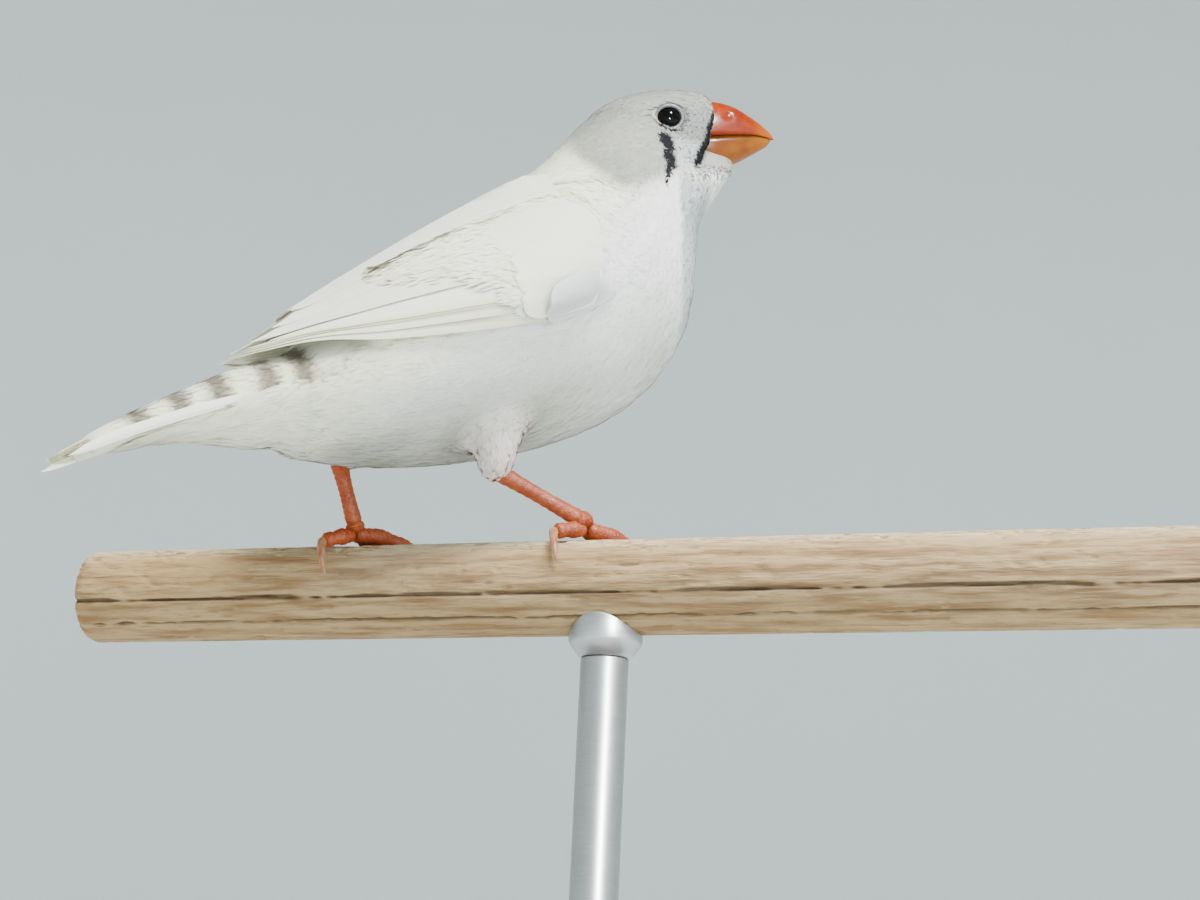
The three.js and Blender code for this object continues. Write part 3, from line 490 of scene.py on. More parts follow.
# Round the bill's root the skin dips inside the horn, ahead of a slanting line
BILL_MIDDLE_Z = 1.3
ahead = ramp(skin_points[:, 0] - bill_line(skin_points[:, 2]), -0.3, 0.5)
ahead *= ramp(skin_points[:, 2], CHIN_TOP_Z - 0.5, CHIN_TOP_Z + 0.3)
skin_points[:, 1] *= 1 - 0.4 * ahead
skin_points[:, 2] += (BILL_MIDDLE_Z - skin_points[:, 2]) * 0.4 * ahead
set_corners(skin.data, placed(HEAD, skin_points))
alone(skin)
bpy.ops.object.shade_smooth()

# Markings, in the head's frame seen from its side, each as points (x, z, half width)
BILL_BAR = [
    (8.1, 3.9, 0.15), (7.7, 2.8, 0.4), (6.95, 0.8, 0.4), (6.75, -0.9, 0.6), (6.0, -2.3, 0.75),
    (5.3, -3.6, 0.6), (4.3, -4.7, 0.3), (3.9, -5.2, 0.1),
]
TEAR_STRIPE = [
    [(-0.15, -1.7, 1.1), (0.3, -2.35, 1.0)],
    [(0.1, -3.9, 0.95), (0.4, -4.9, 0.95), (0.15, -5.8, 0.65)],
    [(-0.1, -6.2, 0.5), (-0.35, -7.2, 0.35), (-0.6, -8.5, 0.15)],
]
EYE_LINE = [
    (-1.5, 1.7, 0.12), (-0.9, 0.7, 0.18), (0, 0.15, 0.24),
    (1.1, -0.05, 0.26), (2.3, 0.2, 0.2), (3.1, 0.9, 0.1),
]
MARK_RAGGED = 0.25

# Colours of the plumage
WHITE = (0.83, 0.835, 0.81)
CREAM = (0.78, 0.76, 0.58)
HEAD_GREY = (0.27, 0.28, 0.245)
LORE_GREY = (0.30, 0.305, 0.31)
CHEEK_WHITE = (0.47, 0.50, 0.50)
THIGH_PINK = (0.74, 0.62, 0.59)
# Painted shade for the underside of breast and belly, greyer and warmer than the white
UNDERSIDE_PAINTED_SHADE = (0.29, 0.292, 0.24)
EAR_BEIGE = (0.40, 0.38, 0.30)
# Brown of the tail coverts' bars, also used for a patch that is partly rump colour and partly painted shade
BAR_AND_SHADE_BROWN = (0.13, 0.105, 0.075)
MARK_BLACK = (0.008, 0.008, 0.011)
SKIN_TONE = (0.95, 0.94, 0.93)
HOOD_EDGE = ([-14, -11.9, -9.4, -7, -4.6, -2, 1, 4], [-3.5, -6, -8.4, -10, -9.3, -8, -6.5, -5.2])
EAR_LINE = [(-11.9, -6.4, 0.2), (-9.4, -8.7, 0.4), (-7, -10.6, 0.45), (-4.6, -9.9, 0.3), (-3.4, -9.4, 0.1)]

# Bars over the tail's coverts, by the bird's own x, and their half width
BARS = [-47.7, -42.6, -38.1, -32.6, -28.4]
BAR_WIDTH = 1.4
TAIL_RIDGE = ([23, 30, 36.5, 43], [6.4, 5.6, 4.8, 4.0])
TAIL_EDGE = ([23, 30, 36.5, 43, 49.9, 56.3], [21.6, 19.4, 16.6, 13.6, 10.2, 6.6])


def stripe(x, z, points):
    """How far inside a stripe of changing width each place is, in mm."""
    inside = np.full(len(x), -9.0)
    for (xa, za, ra), (xb, zb, rb) in zip(points, points[1:]):
        span = np.array([xb - xa, zb - za])
        share = np.clip(((x - xa) * span[0] + (z - za) * span[1]) / (span @ span), 0, 1)
        gap = np.hypot(x - xa - share * span[0], z - za - share * span[1])
        inside = np.maximum(inside, ra + share * (rb - ra) - gap)
    return inside


def wobble(points, size):
    """Smooth noise from -1 to 1 at places given in mm."""
    return np.array([noise.noise(Vector(p) / size) for p in points])


def mixed(base, colour, share):
    return base + (np.array(colour) - base) * np.asarray(share)[:, None]


def plumage_colour(points):
    """Colour of the plumage at points on the bird: markings included, with painted shade on the underside and
    under the wing tips.
    """
    bird = seen_from(BIRD, points)
    head = seen_from(HEAD, points)
    side = np.abs(head[:, 1])
    x = head[:, 0]
    z = head[:, 2]
    grain = wobble(points, 0.8)
    broad = wobble(points, 6)
    run, turn, _ = axis_place(points)
    colour = np.tile(np.array(WHITE), (len(points), 1))
    # Painted shade: the underside of breast and belly is darkened, less so towards the tail
    under = (1 - ramp(np.abs(turn), 0.4, 1.7)) * (0.5 * ramp(run, 24, 42) + 0.5 * ramp(run, 44, 60))
    under *= 1 - 0.5 * ramp(run, 76, 86)
    colour = mixed(colour, UNDERSIDE_PAINTED_SHADE, np.clip(under * (0.85 + 0.3 * broad), 0, 1))
    back = ramp(bird[:, 2] - 1.05 * bird[:, 0], 32, 46) * ramp(run, 10, 26)
    colour = mixed(colour, CREAM, np.clip(back * (0.75 + 0.4 * broad), 0, 1))
    on_head = ramp(x, -10, -7) * ramp(z, -14, -9.5)
    hood = ramp(x, -15, -11.5) * ramp(z - np.interp(x, *HOOD_EDGE), -1.2, 1.4)
    colour = mixed(colour, HEAD_GREY, np.clip(hood * (0.9 + 0.12 * grain + 0.15 * broad), 0, 1))
    cheek = ramp(x, 0.9, 1.9) * (1 - ramp(x, 5.2, 6.6)) * ramp(-z, 0.4, 1.6) * (side > 1)
    colour = mixed(colour, CHEEK_WHITE, np.clip(cheek, 0, 1))
    nape = ramp(run, 12, 18) * (1 - ramp(run, 25, 33)) * ramp(bird[:, 2] + bird[:, 0] * 0.1, 58, 62)
    colour = mixed(colour, CREAM, 0.85 * nape * (1 - hood))
    for knee, lower_end in np.array(THIGHS, float)[:, 1:]:
        bone = lower_end - knee
        along_it = np.clip((bird - knee) @ bone / (bone @ bone), 0, 1)
        gap = np.linalg.norm(bird - knee - along_it[:, None] * bone, axis=1)
        colour = mixed(colour, THIGH_PINK, (1 - ramp(gap, 3.6, 5.4)) * (0.35 + 0.65 * along_it))
    edge = np.interp(-bird[:, 0], *TAIL_EDGE)
    tail_top = ramp(bird[:, 2] - edge, -0.9, 0.5) * (1 - ramp(bird[:, 0], -26, -19))
    tail_top *= 1 - ramp(bird[:, 2] - edge - np.interp(-bird[:, 0], *TAIL_RIDGE), 0.1, 0.9)
    bars = np.zeros(len(points))
    for bar in BARS:
        gap = np.abs(bird[:, 0] - bar - 0.5 * broad - 0.25 * grain)
        bars = np.maximum(bars, 1 - ramp(gap, 0.35 * BAR_WIDTH, 1.35 * BAR_WIDTH))
    # Ahead of the bars, a grey-brown patch under the wing tips: partly the rump's own colour, partly painted
    # shade
    rump_tone_and_shade = 0.6 * ramp(broad + 0.4 * grain, -0.2, 0.5) * ramp(bird[:, 0], -31, -27)
    colour = mixed(colour, BAR_AND_SHADE_BROWN, np.maximum(bars, rump_tone_and_shade) * tail_top * (0.9 + 0.1 * grain))
    lore = ramp(x, 2.9, 4.2) * ramp(z, -0.3, 0.8) * (1 - ramp(z, 3, 4.6)) * (side > 2)
    colour = mixed(colour, LORE_GREY, lore * (0.55 + 0.5 * grain).clip(0, 1))
    ear = ramp(stripe(x, z, EAR_LINE) + 0.4 * grain, -0.4, 0.4) * (side > 2)
    colour = mixed(colour, EAR_BEIGE, 0.45 * ear)
    marks = stripe(x, z, BILL_BAR)
    for blotch in TEAR_STRIPE:
        marks = np.maximum(marks, stripe(x, z, blotch))
    marks = np.maximum(marks, stripe(x, z, EYE_LINE))
    black = ramp(marks + MARK_RAGGED * grain, -0.12, 0.12) * (side > 1.2) * on_head
    return mixed(colour, MARK_BLACK, black)


def paint(mesh, colours):
    """Stores one colour for each vertex, for the finish to read."""
    layer = mesh.attributes.new("tint", "FLOAT_COLOR", "POINT")
    layer.data.foreach_set("color", np.column_stack([colours, np.ones(len(colours))]).ravel())


paint(skin.data, plumage_colour(corners(skin.data)) * np.array(SKIN_TONE))


class Shade:
    """A socket of the finish being mixed. Arithmetic on it adds Math nodes."""

    tree = None

    def __init__(self, socket):
        self.socket = socket

    @staticmethod
    def node(kind, settings=None, sockets=None, output=0):
        """Any node: its type, its settings, and the values or links of its sockets."""
        made = Shade.tree.nodes.new("ShaderNode" + kind)
        for key, value in (settings or {}).items():
            setattr(made, key, value)
        for key, value in (sockets or {}).items():
            if isinstance(value, Shade):
                Shade.tree.links.new(value.socket, made.inputs[key])
            else:
                made.inputs[key].default_value = value
        return Shade(made.outputs[output])

    def math(self, operation, other=0.0, swap=False):
        pair = {0: other, 1: self} if swap else {0: self, 1: other}
        return Shade.node("Math", {"operation": operation}, pair)

    def __add__(self, other):
        return self.math("ADD", other)

    def __sub__(self, other):
        return self.math("SUBTRACT", other)

    def __mul__(self, other):
        return self.math("MULTIPLY", other)

    def __rsub__(self, other):
        return self.math("SUBTRACT", other, swap=True)

    __radd__ = __add__
    __rmul__ = __mul__

    def within(self, low, high):
        """0 at low and below, 1 at high and above, smooth between."""
        return Shade.node("MapRange", {"interpolation_type": "SMOOTHSTEP"}, {0: self, 1: low, 2: high})


def place_in_mm():
    """The place on the piece, in millimetres."""
    at = Shade.node("TexCoord", output=3)
    return Shade.node("VectorMath", {"operation": "SCALE"}, {0: at, "Scale": 1000.0})


def cloud(at, size, detail=3.0, stretch=(1, 1, 1)):
    """Soft noise, with features of about that size in mm, drawn out along an axis by stretch."""
    drawn = Shade.node("VectorMath", {"operation": "MULTIPLY"}, {0: at, 1: stretch})
    return Shade.node("TexNoise", {}, {"Vector": drawn, "Scale": 1 / size, "Detail": detail})


def painted():
    """The colours stored by paint."""
    return Shade.node("Attribute", {"attribute_name": "tint"})


def blended(share, first, second):
    """The first colour where share is 0, the second where it is 1."""
    mix = {"data_type": "RGBA"}
    return Shade.node("Mix", mix, {0: share, 6: first, 7: second}, output=2)


def tinted(colour, factor):
    """A colour scaled by a number."""
    return Shade.node("VectorMath", {"operation": "SCALE"}, {0: colour, "Scale": factor})


def finish(name, lay_out):
    """A finish whose surface sockets are worked out by lay_out."""
    material = bpy.data.materials.new(name)
    material.use_nodes = True
    Shade.tree = material.node_tree
    surface = Shade.tree.nodes["Principled BSDF"]
    for key, value in lay_out().items():
        if isinstance(value, Shade):
            Shade.tree.links.new(value.socket, surface.inputs[key])
        else:
            surface.inputs[key].default_value = value
    return material


def bump(height, strength, distance):
    """Relief from a height, distance in mm."""
    sockets = {"Strength": strength, "Distance": distance * MM, "Height": height}
    return Shade.node("Bump", {}, sockets)


def down():
    at = place_in_mm()
    tint = painted()
    fluff = cloud(at, 0.25, 4)
    return {
        "Base Color": tinted(tint, 0.9 + 0.2 * fluff),
        "Roughness": 0.95,
        "Specular IOR Level": 0.2,
        "Normal": bump(fluff, 0.5, 0.15),
    }


skin.data.materials.append(finish("skin_down", down))
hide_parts("torso", "neck", "head", "thigh_right", "thigh_left")
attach(skin, "root")

# Contour plumage: short soft feathers over head, neck, breast, back, flanks, thighs and the wings' shoulders.
# Each is a fan of narrow blades rooted in the skin, laid along the body over the next ones behind it.
skin_points = corners(skin.data)
skin_tree = tree_of(skin)
quads = np.array([(*face.vertices, face.vertices[-1])[:4] for face in skin.data.polygons])
face_normals = unit(corner_normals(skin.data)[quads].sum(axis=1))


def onto_skin(points):
    """The nearest places on the skin and its directions out there."""
    hits = [skin_tree.find_nearest(Vector(p)) for p in points]
    places = np.array([hit[0] for hit in hits])
    return places, face_normals[[hit[2] for hit in hits]]


# Length of the feathers by distance along the axis, the spacing and width that go with a length, and the
# number of places tried
FEATHER_LENGTHS = (
    [0, 4, 9, 16, 26, 40, 62, 80, 100, 125],
    [0.8, 1.05, 1.5, 2.0, 2.8, 3.7, 4.3, 5.2, 6.4, 6.0],
)
SPACING_SHARE = 0.15
SPACING_LEAST = 0.16
WIDTH_SHARE = 0.42
WIDTH_LEAST = 0.15
PLACES_TRIED = 400000


def scattered(count, seed):
    """Places spread at random over the skin, in proportion to its area."""
    rng = np.random.default_rng(seed)
    a, b, c, d = (skin_points[quads[:, k]] for k in range(4))
    areas = np.linalg.norm(np.cross(c - a, d - b), axis=1) / 2
    picks = np.searchsorted(np.cumsum(areas) / areas.sum(), rng.random(count))
    u = rng.random((count, 1))
    v = rng.random((count, 1))
    flat = a[picks] * (1 - u) * (1 - v) + b[picks] * u * (1 - v) + c[picks] * u * v + d[picks] * (1 - u) * v
    return flat, face_normals[picks]


def thinned(points, spacing):
    """One point for each small cell of space, the cells as wide as the spacing there."""
    kept = []
    steps = 1.12 ** np.arange(-16, 12)
    level = np.searchsorted(steps, spacing)
    for k in np.unique(level):
        chosen = np.nonzero(level == k)[0]
        cells = np.floor(points[chosen] / steps[min(k, len(steps) - 1)]).astype(int)
        first = np.unique(cells, axis=0, return_index=True)[1]
        kept.append(chosen[first])
    return np.sort(np.concatenate(kept))


def in_world(vectors):
    """Directions given in the bird's own frame, on the stand."""
    return np.asarray(vectors, float) @ np.array(BIRD.to_3x3()).T


def toward(lie, direction, share):
    """The lie of the feathers, turned towards a direction by a share."""
    return unit(lie * (1 - share)[:, None] + in_world(direction) * share[:, None])


roots, out = scattered(PLACES_TRIED, 4)
run, angle, lie = axis_place(roots)
length = np.interp(run, *FEATHER_LENGTHS)
order = thinned(roots, SPACING_SHARE * length + SPACING_LEAST)
roots, out, run, angle, lie, length = (part[order] for part in (roots, out, run, angle, lie, length))
own = seen_from(BIRD, roots)
head_own = seen_from(HEAD, roots)
side = np.where(own[:, 1] < 0, -1, 1)
depth = np.interp(run, *COAT_DEPTHS)

# Over the wings' shoulders and upper half the feathers lie along the wing. Below that it has its own rows.
WING_COAT_ENDS = ([0, 0.15, 0.3, 0.75, 1], [0.29, 0.31, 0.34, 0.66, 0.78])
wing_gap = np.array([min(tree.find_nearest(Vector(p))[3] for tree in wing_trees) for p in roots])
on_wing = wing_gap < 1.25
grid_u, grid_v = (part.ravel() for part in np.meshgrid(np.linspace(0, 0.97, 50), np.linspace(0, 1, 24)))
grid_at = wing_point(grid_u, grid_v)
wing_u = np.ones(len(roots))
wing_v = np.zeros(len(roots))
wing_lie = np.zeros((len(roots), 3))
mirror = np.column_stack([np.ones(len(roots)), side, np.ones(len(roots))])
for lot in np.array_split(np.nonzero(wing_gap < 9)[0], 60):
    gaps = np.linalg.norm((own[lot] * mirror[lot])[:, None] - grid_at[None], axis=2)
    pick = np.argmin(gaps, axis=1)
    wing_u[lot] = grid_u[pick]
    wing_v[lot] = grid_v[pick]
    ahead_by = wing_point(grid_u[pick] + 0.03, grid_v[pick]) - wing_point(grid_u[pick], grid_v[pick])
    wing_lie[lot] = unit(ahead_by) * mirror[lot]
near_wing = np.exp(-((wing_gap / 3.5) ** 2)) * ramp(own[:, 0], -20, -12) * (wing_gap < 9)
near_wing = np.where(on_wing, 1, near_wing)
lie = toward(lie, wing_lie, near_wing)
length = np.where(on_wing, 3.6 + 2.6 * ramp(wing_u, 0.15, 0.5), length)
wing_rim = 0.5 + 0.5 * ramp(np.minimum(wing_v, 1 - wing_v), 0.02, 0.16)
depth = np.where(on_wing, (0.42 + 0.2 * ramp(wing_u, 0.2, 0.4)) * wing_rim, depth)
coat_end = np.interp(wing_v, *WING_COAT_ENDS) + 0.015 * np.sin(wing_v * 40)

# Under the chin and down the throat they lie back and down
CHIN_LIE = unit(np.array([[-0.55, 0, -0.84]])) @ np.array((BIRD.inverted() @ HEAD).to_3x3()).T
on_chin = ramp(-head_own[:, 2], 2.2, 4.5) * ramp(head_own[:, 0], 0.5, 4) * (head_own[:, 2] > -16)
lie = toward(lie, np.broadcast_to(CHIN_LIE, own.shape), on_chin)

# Over the tail they lie long and flat
TAIL_LIE = unit(np.array([[-0.9, 0.0, -0.43]]))
on_tail = 1 - ramp(own[:, 0], -34, -26)
lie = toward(lie, np.broadcast_to(TAIL_LIE, own.shape), 0.9 * on_tail)
length += (4.6 - length) * on_tail
depth += (0.32 - depth) * on_tail
slim = 1 - 0.3 * on_tail

# The thighs' feathers run down the leg
on_thigh = np.zeros(len(roots))
own_out = out @ np.array(BIRD.to_3x3())
for line in THIGHS:
    for top, foot in zip(line, line[1:]):
        step = np.subtract(foot, top)
        share = np.clip((own - top) @ step / (step @ step), 0, 1)
        near = np.linalg.norm(own - top - share[:, None] * step, axis=1)
        step /= np.linalg.norm(step)
        weight = (1 - ramp(near, 4, 6)) * (1 - ramp(own[:, 2], 19, 25))
        weight = weight * (1 - ramp(np.abs(own_out @ step), 0.4, 0.7))
        lie = toward(lie, np.broadcast_to(step, own.shape), weight)
        length += (2.4 - length) * weight * (1 - ramp(own[:, 2], 16, 22))
        on_thigh = np.maximum(on_thigh, weight)
shank_end = np.min([np.linalg.norm(own - line[-1], axis=1) for line in THIGHS], axis=0)
length *= 0.45 + 0.55 * ramp(shank_end, 2, 4.5)
depth = depth * (1 - 0.35 * on_thigh)

against = np.abs(np.sum(lie * out, axis=1))
length *= np.sqrt(np.maximum(1 - against**2, 0.12))
lid_gap = eye_gap(roots)
lid_room = 0.25 + 0.9 * np.maximum(lid_gap - 2.3, 0)
length = np.minimum(length, np.where(head_own[:, 0] > EYE_AT[0], lid_room, 9))
bare = lid_gap < 2.3
bare |= (head_own[:, 0] > bill_line(head_own[:, 2])) & (head_own[:, 2] > CHIN_TOP_Z - 0.5)
bare |= on_wing & (wing_u > coat_end)
bare |= (against > 0.96) | ((on_thigh > 0.5) & (against > 0.75))
over_edge = own[:, 2] - np.interp(-own[:, 0], *TAIL_EDGE)
barred = ramp(-own[:, 0], 20, 23) * ramp(over_edge, -0.6, 0.4) * ~on_wing
length *= 1 - 0.5 * barred
depth = depth * (1 - 0.6 * barred)
bare |= (own[:, 0] < np.where(over_edge > 0.2, -48.5, -46)) | ((own[:, 0] < -34) & (against > 0.55))
bare |= (own[:, 0] < -33.5) & (over_edge < 0.15) & (over_edge > -0.9)

# A feather that would stand off the skin behind a crest is shortened, and left out where that isn't enough
flat_lie = unit(lie - out * np.sum(lie * out, axis=1, keepdims=True))
for attempt in range(3):
    aim = roots + flat_lie * length[:, None]
    place, away = onto_skin(aim)
    stands = np.linalg.norm(place - aim, axis=1) > 0.3 + 0.13 * length
    stands |= np.sum(away * out, axis=1) < 0.65
    stands &= np.sum((aim - place) * away, axis=1) > 0
    stands |= eye_gap(aim) < 2.35
    if attempt < 2:
        length = np.where(stands, 0.6 * length, length)
bare |= stands


# A fan's rows from root to tip: share of its length, rise through the coat, spread and breadth of the blades
# and a brightness factor that makes the colour darker towards the root. A fan takes FAN_TRIANGLES, and a
# piece stays below PIECE_TRIANGLES.
FAN_SHARES = [0, 0.4, 0.8, 1]
FAN_RISES = [-0.25, 0.66, 0.8, 0.5]
FAN_SPREADS = [0.4, 0.9, 1.0, 0.95]
FAN_HALVES = [0.9, 1.0, 0.75, 0]
FAN_ROW_BRIGHTNESS = [0.86, 0.96, 1.0, 1.02]
FAN_BLADES = 7
FAN_TRIANGLES = 5 * FAN_BLADES
PIECE_TRIANGLES = 190000
BAKE_PATCH = 0.003


def new_piece(mesh):
    piece = bpy.data.objects.new(mesh.name, mesh)
    bpy.context.scene.collection.objects.link(piece)
    return piece


def fans(name, picked, seed, tint=None, least=WIDTH_LEAST):
    """A piece of plumage: one fan of narrow blades at each of the picked roots."""
    rng = np.random.default_rng(seed)
    n = len(picked)
    base = roots[picked]
    normal = out[picked]
    long = (length[picked] * rng.uniform(0.85, 1.15, n))[:, None]
    wide = (WIDTH_SHARE * long + least) * slim[picked][:, None]
    deep = depth[picked][:, None]
    course = unit(lie[picked] + rng.normal(0, 0.07, (n, 3)))
    course = unit(course - normal * np.sum(course * normal, axis=1, keepdims=True))
    line = [base + normal * FAN_RISES[0] * deep]
    normals = [normal]
    height = rng.uniform(0.88, 1.06, (n, 1))
    for share, rise in zip(FAN_SHARES[1:], FAN_RISES[1:]):
        aim = base + course * long * share
        place, away = onto_skin(aim)
        off = np.linalg.norm(place - aim, axis=1) > 0.35 + 0.16 * long[:, 0] * share
        off |= np.sum(away * normals[-1], axis=1) < 0.6
        off &= np.sum((aim - place) * away, axis=1) > 0
        place = np.where(off[:, None], aim, place)
        away = np.where(off[:, None], normals[-1], away)
        line.append(place + away * deep * rise * height)
        normals.append(away)
    points = []
    shading = []
    grid = []
    row_brightness = []
    for b in np.linspace(-1, 1, FAN_BLADES):
        reach = 1 - 0.3 * b * b + rng.uniform(-0.1, 0.04, (n, 1))
        slant = rng.normal(0, 0.05, (n, 1))
        rise = rng.normal(0, 0.012, (n, 1)) * wide
        for row in range(4):
            away = normals[row]
            ahead = unit(line[min(row + 1, 3)] - line[max(row - 1, 0)])
            beside = unit(np.cross(away, ahead))
            middle = line[row] - ahead * long * FAN_SHARES[row] * (1 - reach)
            middle = middle + beside * wide * (0.5 * b * FAN_SPREADS[row] + slant * FAN_SHARES[row])
            middle = middle + away * (rise - 0.07 * b * b * wide)
            half = wide * 0.11 * FAN_HALVES[row]
            rounded = unit(away + 0.16 * b * beside - 0.05 * ahead)
            for edge in ((-1, 1) if row < 3 else (0,)):
                points.append(middle + beside * half * edge)
                shading.append(rounded)
                grid.append((FAN_SHARES[row], 0.5 + 0.45 * b + 0.06 * edge))
                row_brightness.append(FAN_ROW_BRIGHTNESS[row])
    grid = np.array(grid)
    points = np.stack(points, axis=1)
    per_fan = points.shape[1]
    if tint is None:
        rows = [plumage_colour(spots) for spots in line[1:]]
    else:
        rows = [np.tile(tint, (n, 1))] * 3
    row_of = np.maximum(np.searchsorted(FAN_SHARES, grid[:, 0]) - 1, 0)
    # The colour is darker towards each fan's root, by its row's brightness factor
    colours = np.stack(rows, axis=1)[:, row_of] * np.array(row_brightness)[None, :, None]
    colours *= rng.normal(1, 0.014, (n, 1, 1))
    blade = np.array([[1, 0, 2, 3], [3, 2, 4, 5]])
    per_blade = per_fan // FAN_BLADES
    quads_of = np.concatenate([blade + per_blade * k for k in range(FAN_BLADES)])
    tips_of = np.array([[5, 4, 6]]) + per_blade * np.arange(FAN_BLADES)[:, None]
    starts = np.arange(n)[:, None, None] * per_fan
    corner_quads = (quads_of[None] + starts).reshape(-1, 4)
    corner_tips = (tips_of[None] + starts).reshape(-1, 3)
    mesh = bpy.data.meshes.new(name)
    mesh.vertices.add(n * per_fan)
    mesh.vertices.foreach_set("co", (points.reshape(-1, 3) * MM).ravel())
    loops = np.concatenate([corner_quads.ravel(), corner_tips.ravel()])
    mesh.loops.add(len(loops))
    mesh.loops.foreach_set("vertex_index", loops)
    mesh.polygons.add(len(corner_quads) + len(corner_tips))
    first = np.arange(len(corner_quads)) * 4
    last = len(corner_quads) * 4 + np.arange(len(corner_tips)) * 3
    mesh.polygons.foreach_set("loop_start", np.concatenate([first, last]))
    mesh.update(calc_edges=True)
    paint(mesh, colours.reshape(-1, 3))
    # Each fan gets a small patch of the OFBake map at its root's place on an unwrap of the bird along its
    # axis
    corner = np.column_stack([run[picked] / AXIS_LENGTHS.sum(), angle[picked] / (2 * math.pi) + 0.5])
    corner = corner * 0.99 + 0.003
    bake = (corner[:, None, :] + BAKE_PATCH * (grid[None] - 0.5)).reshape(-1, 2)
    mesh.uv_layers.new(name="OFBake").data.foreach_set("uv", bake[loops].ravel())
    strand = np.tile(grid, (n, 1)) + np.repeat(rng.random((n, 1)) * 7, per_fan, axis=0)
    mesh.uv_layers.new(name="strand").data.foreach_set("uv", strand[loops].ravel())
    shades = np.stack(shading, axis=1).reshape(-1, 3)
    mesh.polygons.foreach_set("use_smooth", np.ones(len(mesh.polygons), bool))
    mesh.normals_split_custom_set_from_vertices(shades)
    piece = new_piece(mesh)
    mesh.materials.append(feather_finish)
    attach(piece, "root")


def feather():
    at = place_in_mm()
    tint = painted()
    strand = Shade.node("UVMap", {"uv_map": "strand"})
    drawn = Shade.node("VectorMath", {"operation": "MULTIPLY"}, {0: strand, 1: (3, 26, 1)})
    barbs = Shade.node("TexNoise", {}, {"Vector": drawn, "Scale": 1.0, "Detail": 2.0})
    broad = cloud(at, 3.0, 2)
    return {
        "Base Color": tinted(tint, 0.91 + 0.1 * barbs + 0.08 * broad),
        "Roughness": 0.8,
        "Specular IOR Level": 0.08,
        "Normal": bump(barbs, 0.2, 0.04),
    }


feather_finish = finish("plumage_feather", feather)
region = np.where(on_thigh > 0.5, 3, np.digitize(run, [17, 45]))
region = np.where((region == 2) & (run > 78), 4, region)
region = np.where((region < 3) & on_wing, 5, region)
for part, label in enumerate(["head", "neck", "body", "thighs", "rump", "shoulders"]):
    picked = np.nonzero(~bare & (region == part))[0]
    lots = max(1, math.ceil(len(picked) * FAN_TRIANGLES / PIECE_TRIANGLES))
    for lot in range(lots):
        fans(f"plumage_{label}_{lot + 1}", picked[lot::lots], 20 + 7 * part + lot)

# The finest dark hairs stand on the bare-looking lore between eye and bill, over the pale ones
HAIR_GREY = (0.10, 0.10, 0.11)
HAIR_LENGTH = 0.7
HAIR_WIDTH_LEAST = -0.1
rng = np.random.default_rng(12)
lore = (head_own[:, 0] > 3.4) & (head_own[:, 0] < 6.9)
lore &= (head_own[:, 2] > -0.2) & (head_own[:, 2] < 3.8)
lore &= (np.abs(head_own[:, 1]) > 2.5) & (rng.random(len(roots)) < 0.13) & ~bare
depth = np.where(lore, depth * 1.12, depth)
length = np.where(lore, HAIR_LENGTH, length)
fans("plumage_lore_hairs", np.nonzero(lore)[0], 77, HAIR_GREY, HAIR_WIDTH_LEAST)

# Wings: flight feathers and their coverts in tiers over each folded wing, each vane with shaft and barbs.
# They lie on one surface through the wing's lower edge, middle and upper edge, each over the next below.
WING_BREADTH = 16


def wing_place(side):
    """Places on a wing by share of its length, height up its breadth where widest, and lift out, in mm."""
    def place(u, height, lift):
        v = np.clip(height / WING_BREADTH, 0, 1.02)
        spot = wing_point(u, v) + wing_normal(np.minimum(u, 0.97), v) * lift[..., None]
        return spot * (1, side, 1)
    return place


# Outline of a vane: half width as a share of its widest, from quill to rounded tip
VANE_OUTLINE = [
    (0, 0.45), (0.2, 0.8), (0.5, 1), (0.75, 0.99), (0.88, 0.86), (0.95, 0.62), (0.985, 0.34), (1, 0.06),
]
VANE_ROWS = 26
VANE_COLUMNS = 8
VANE_THICK = 0.14


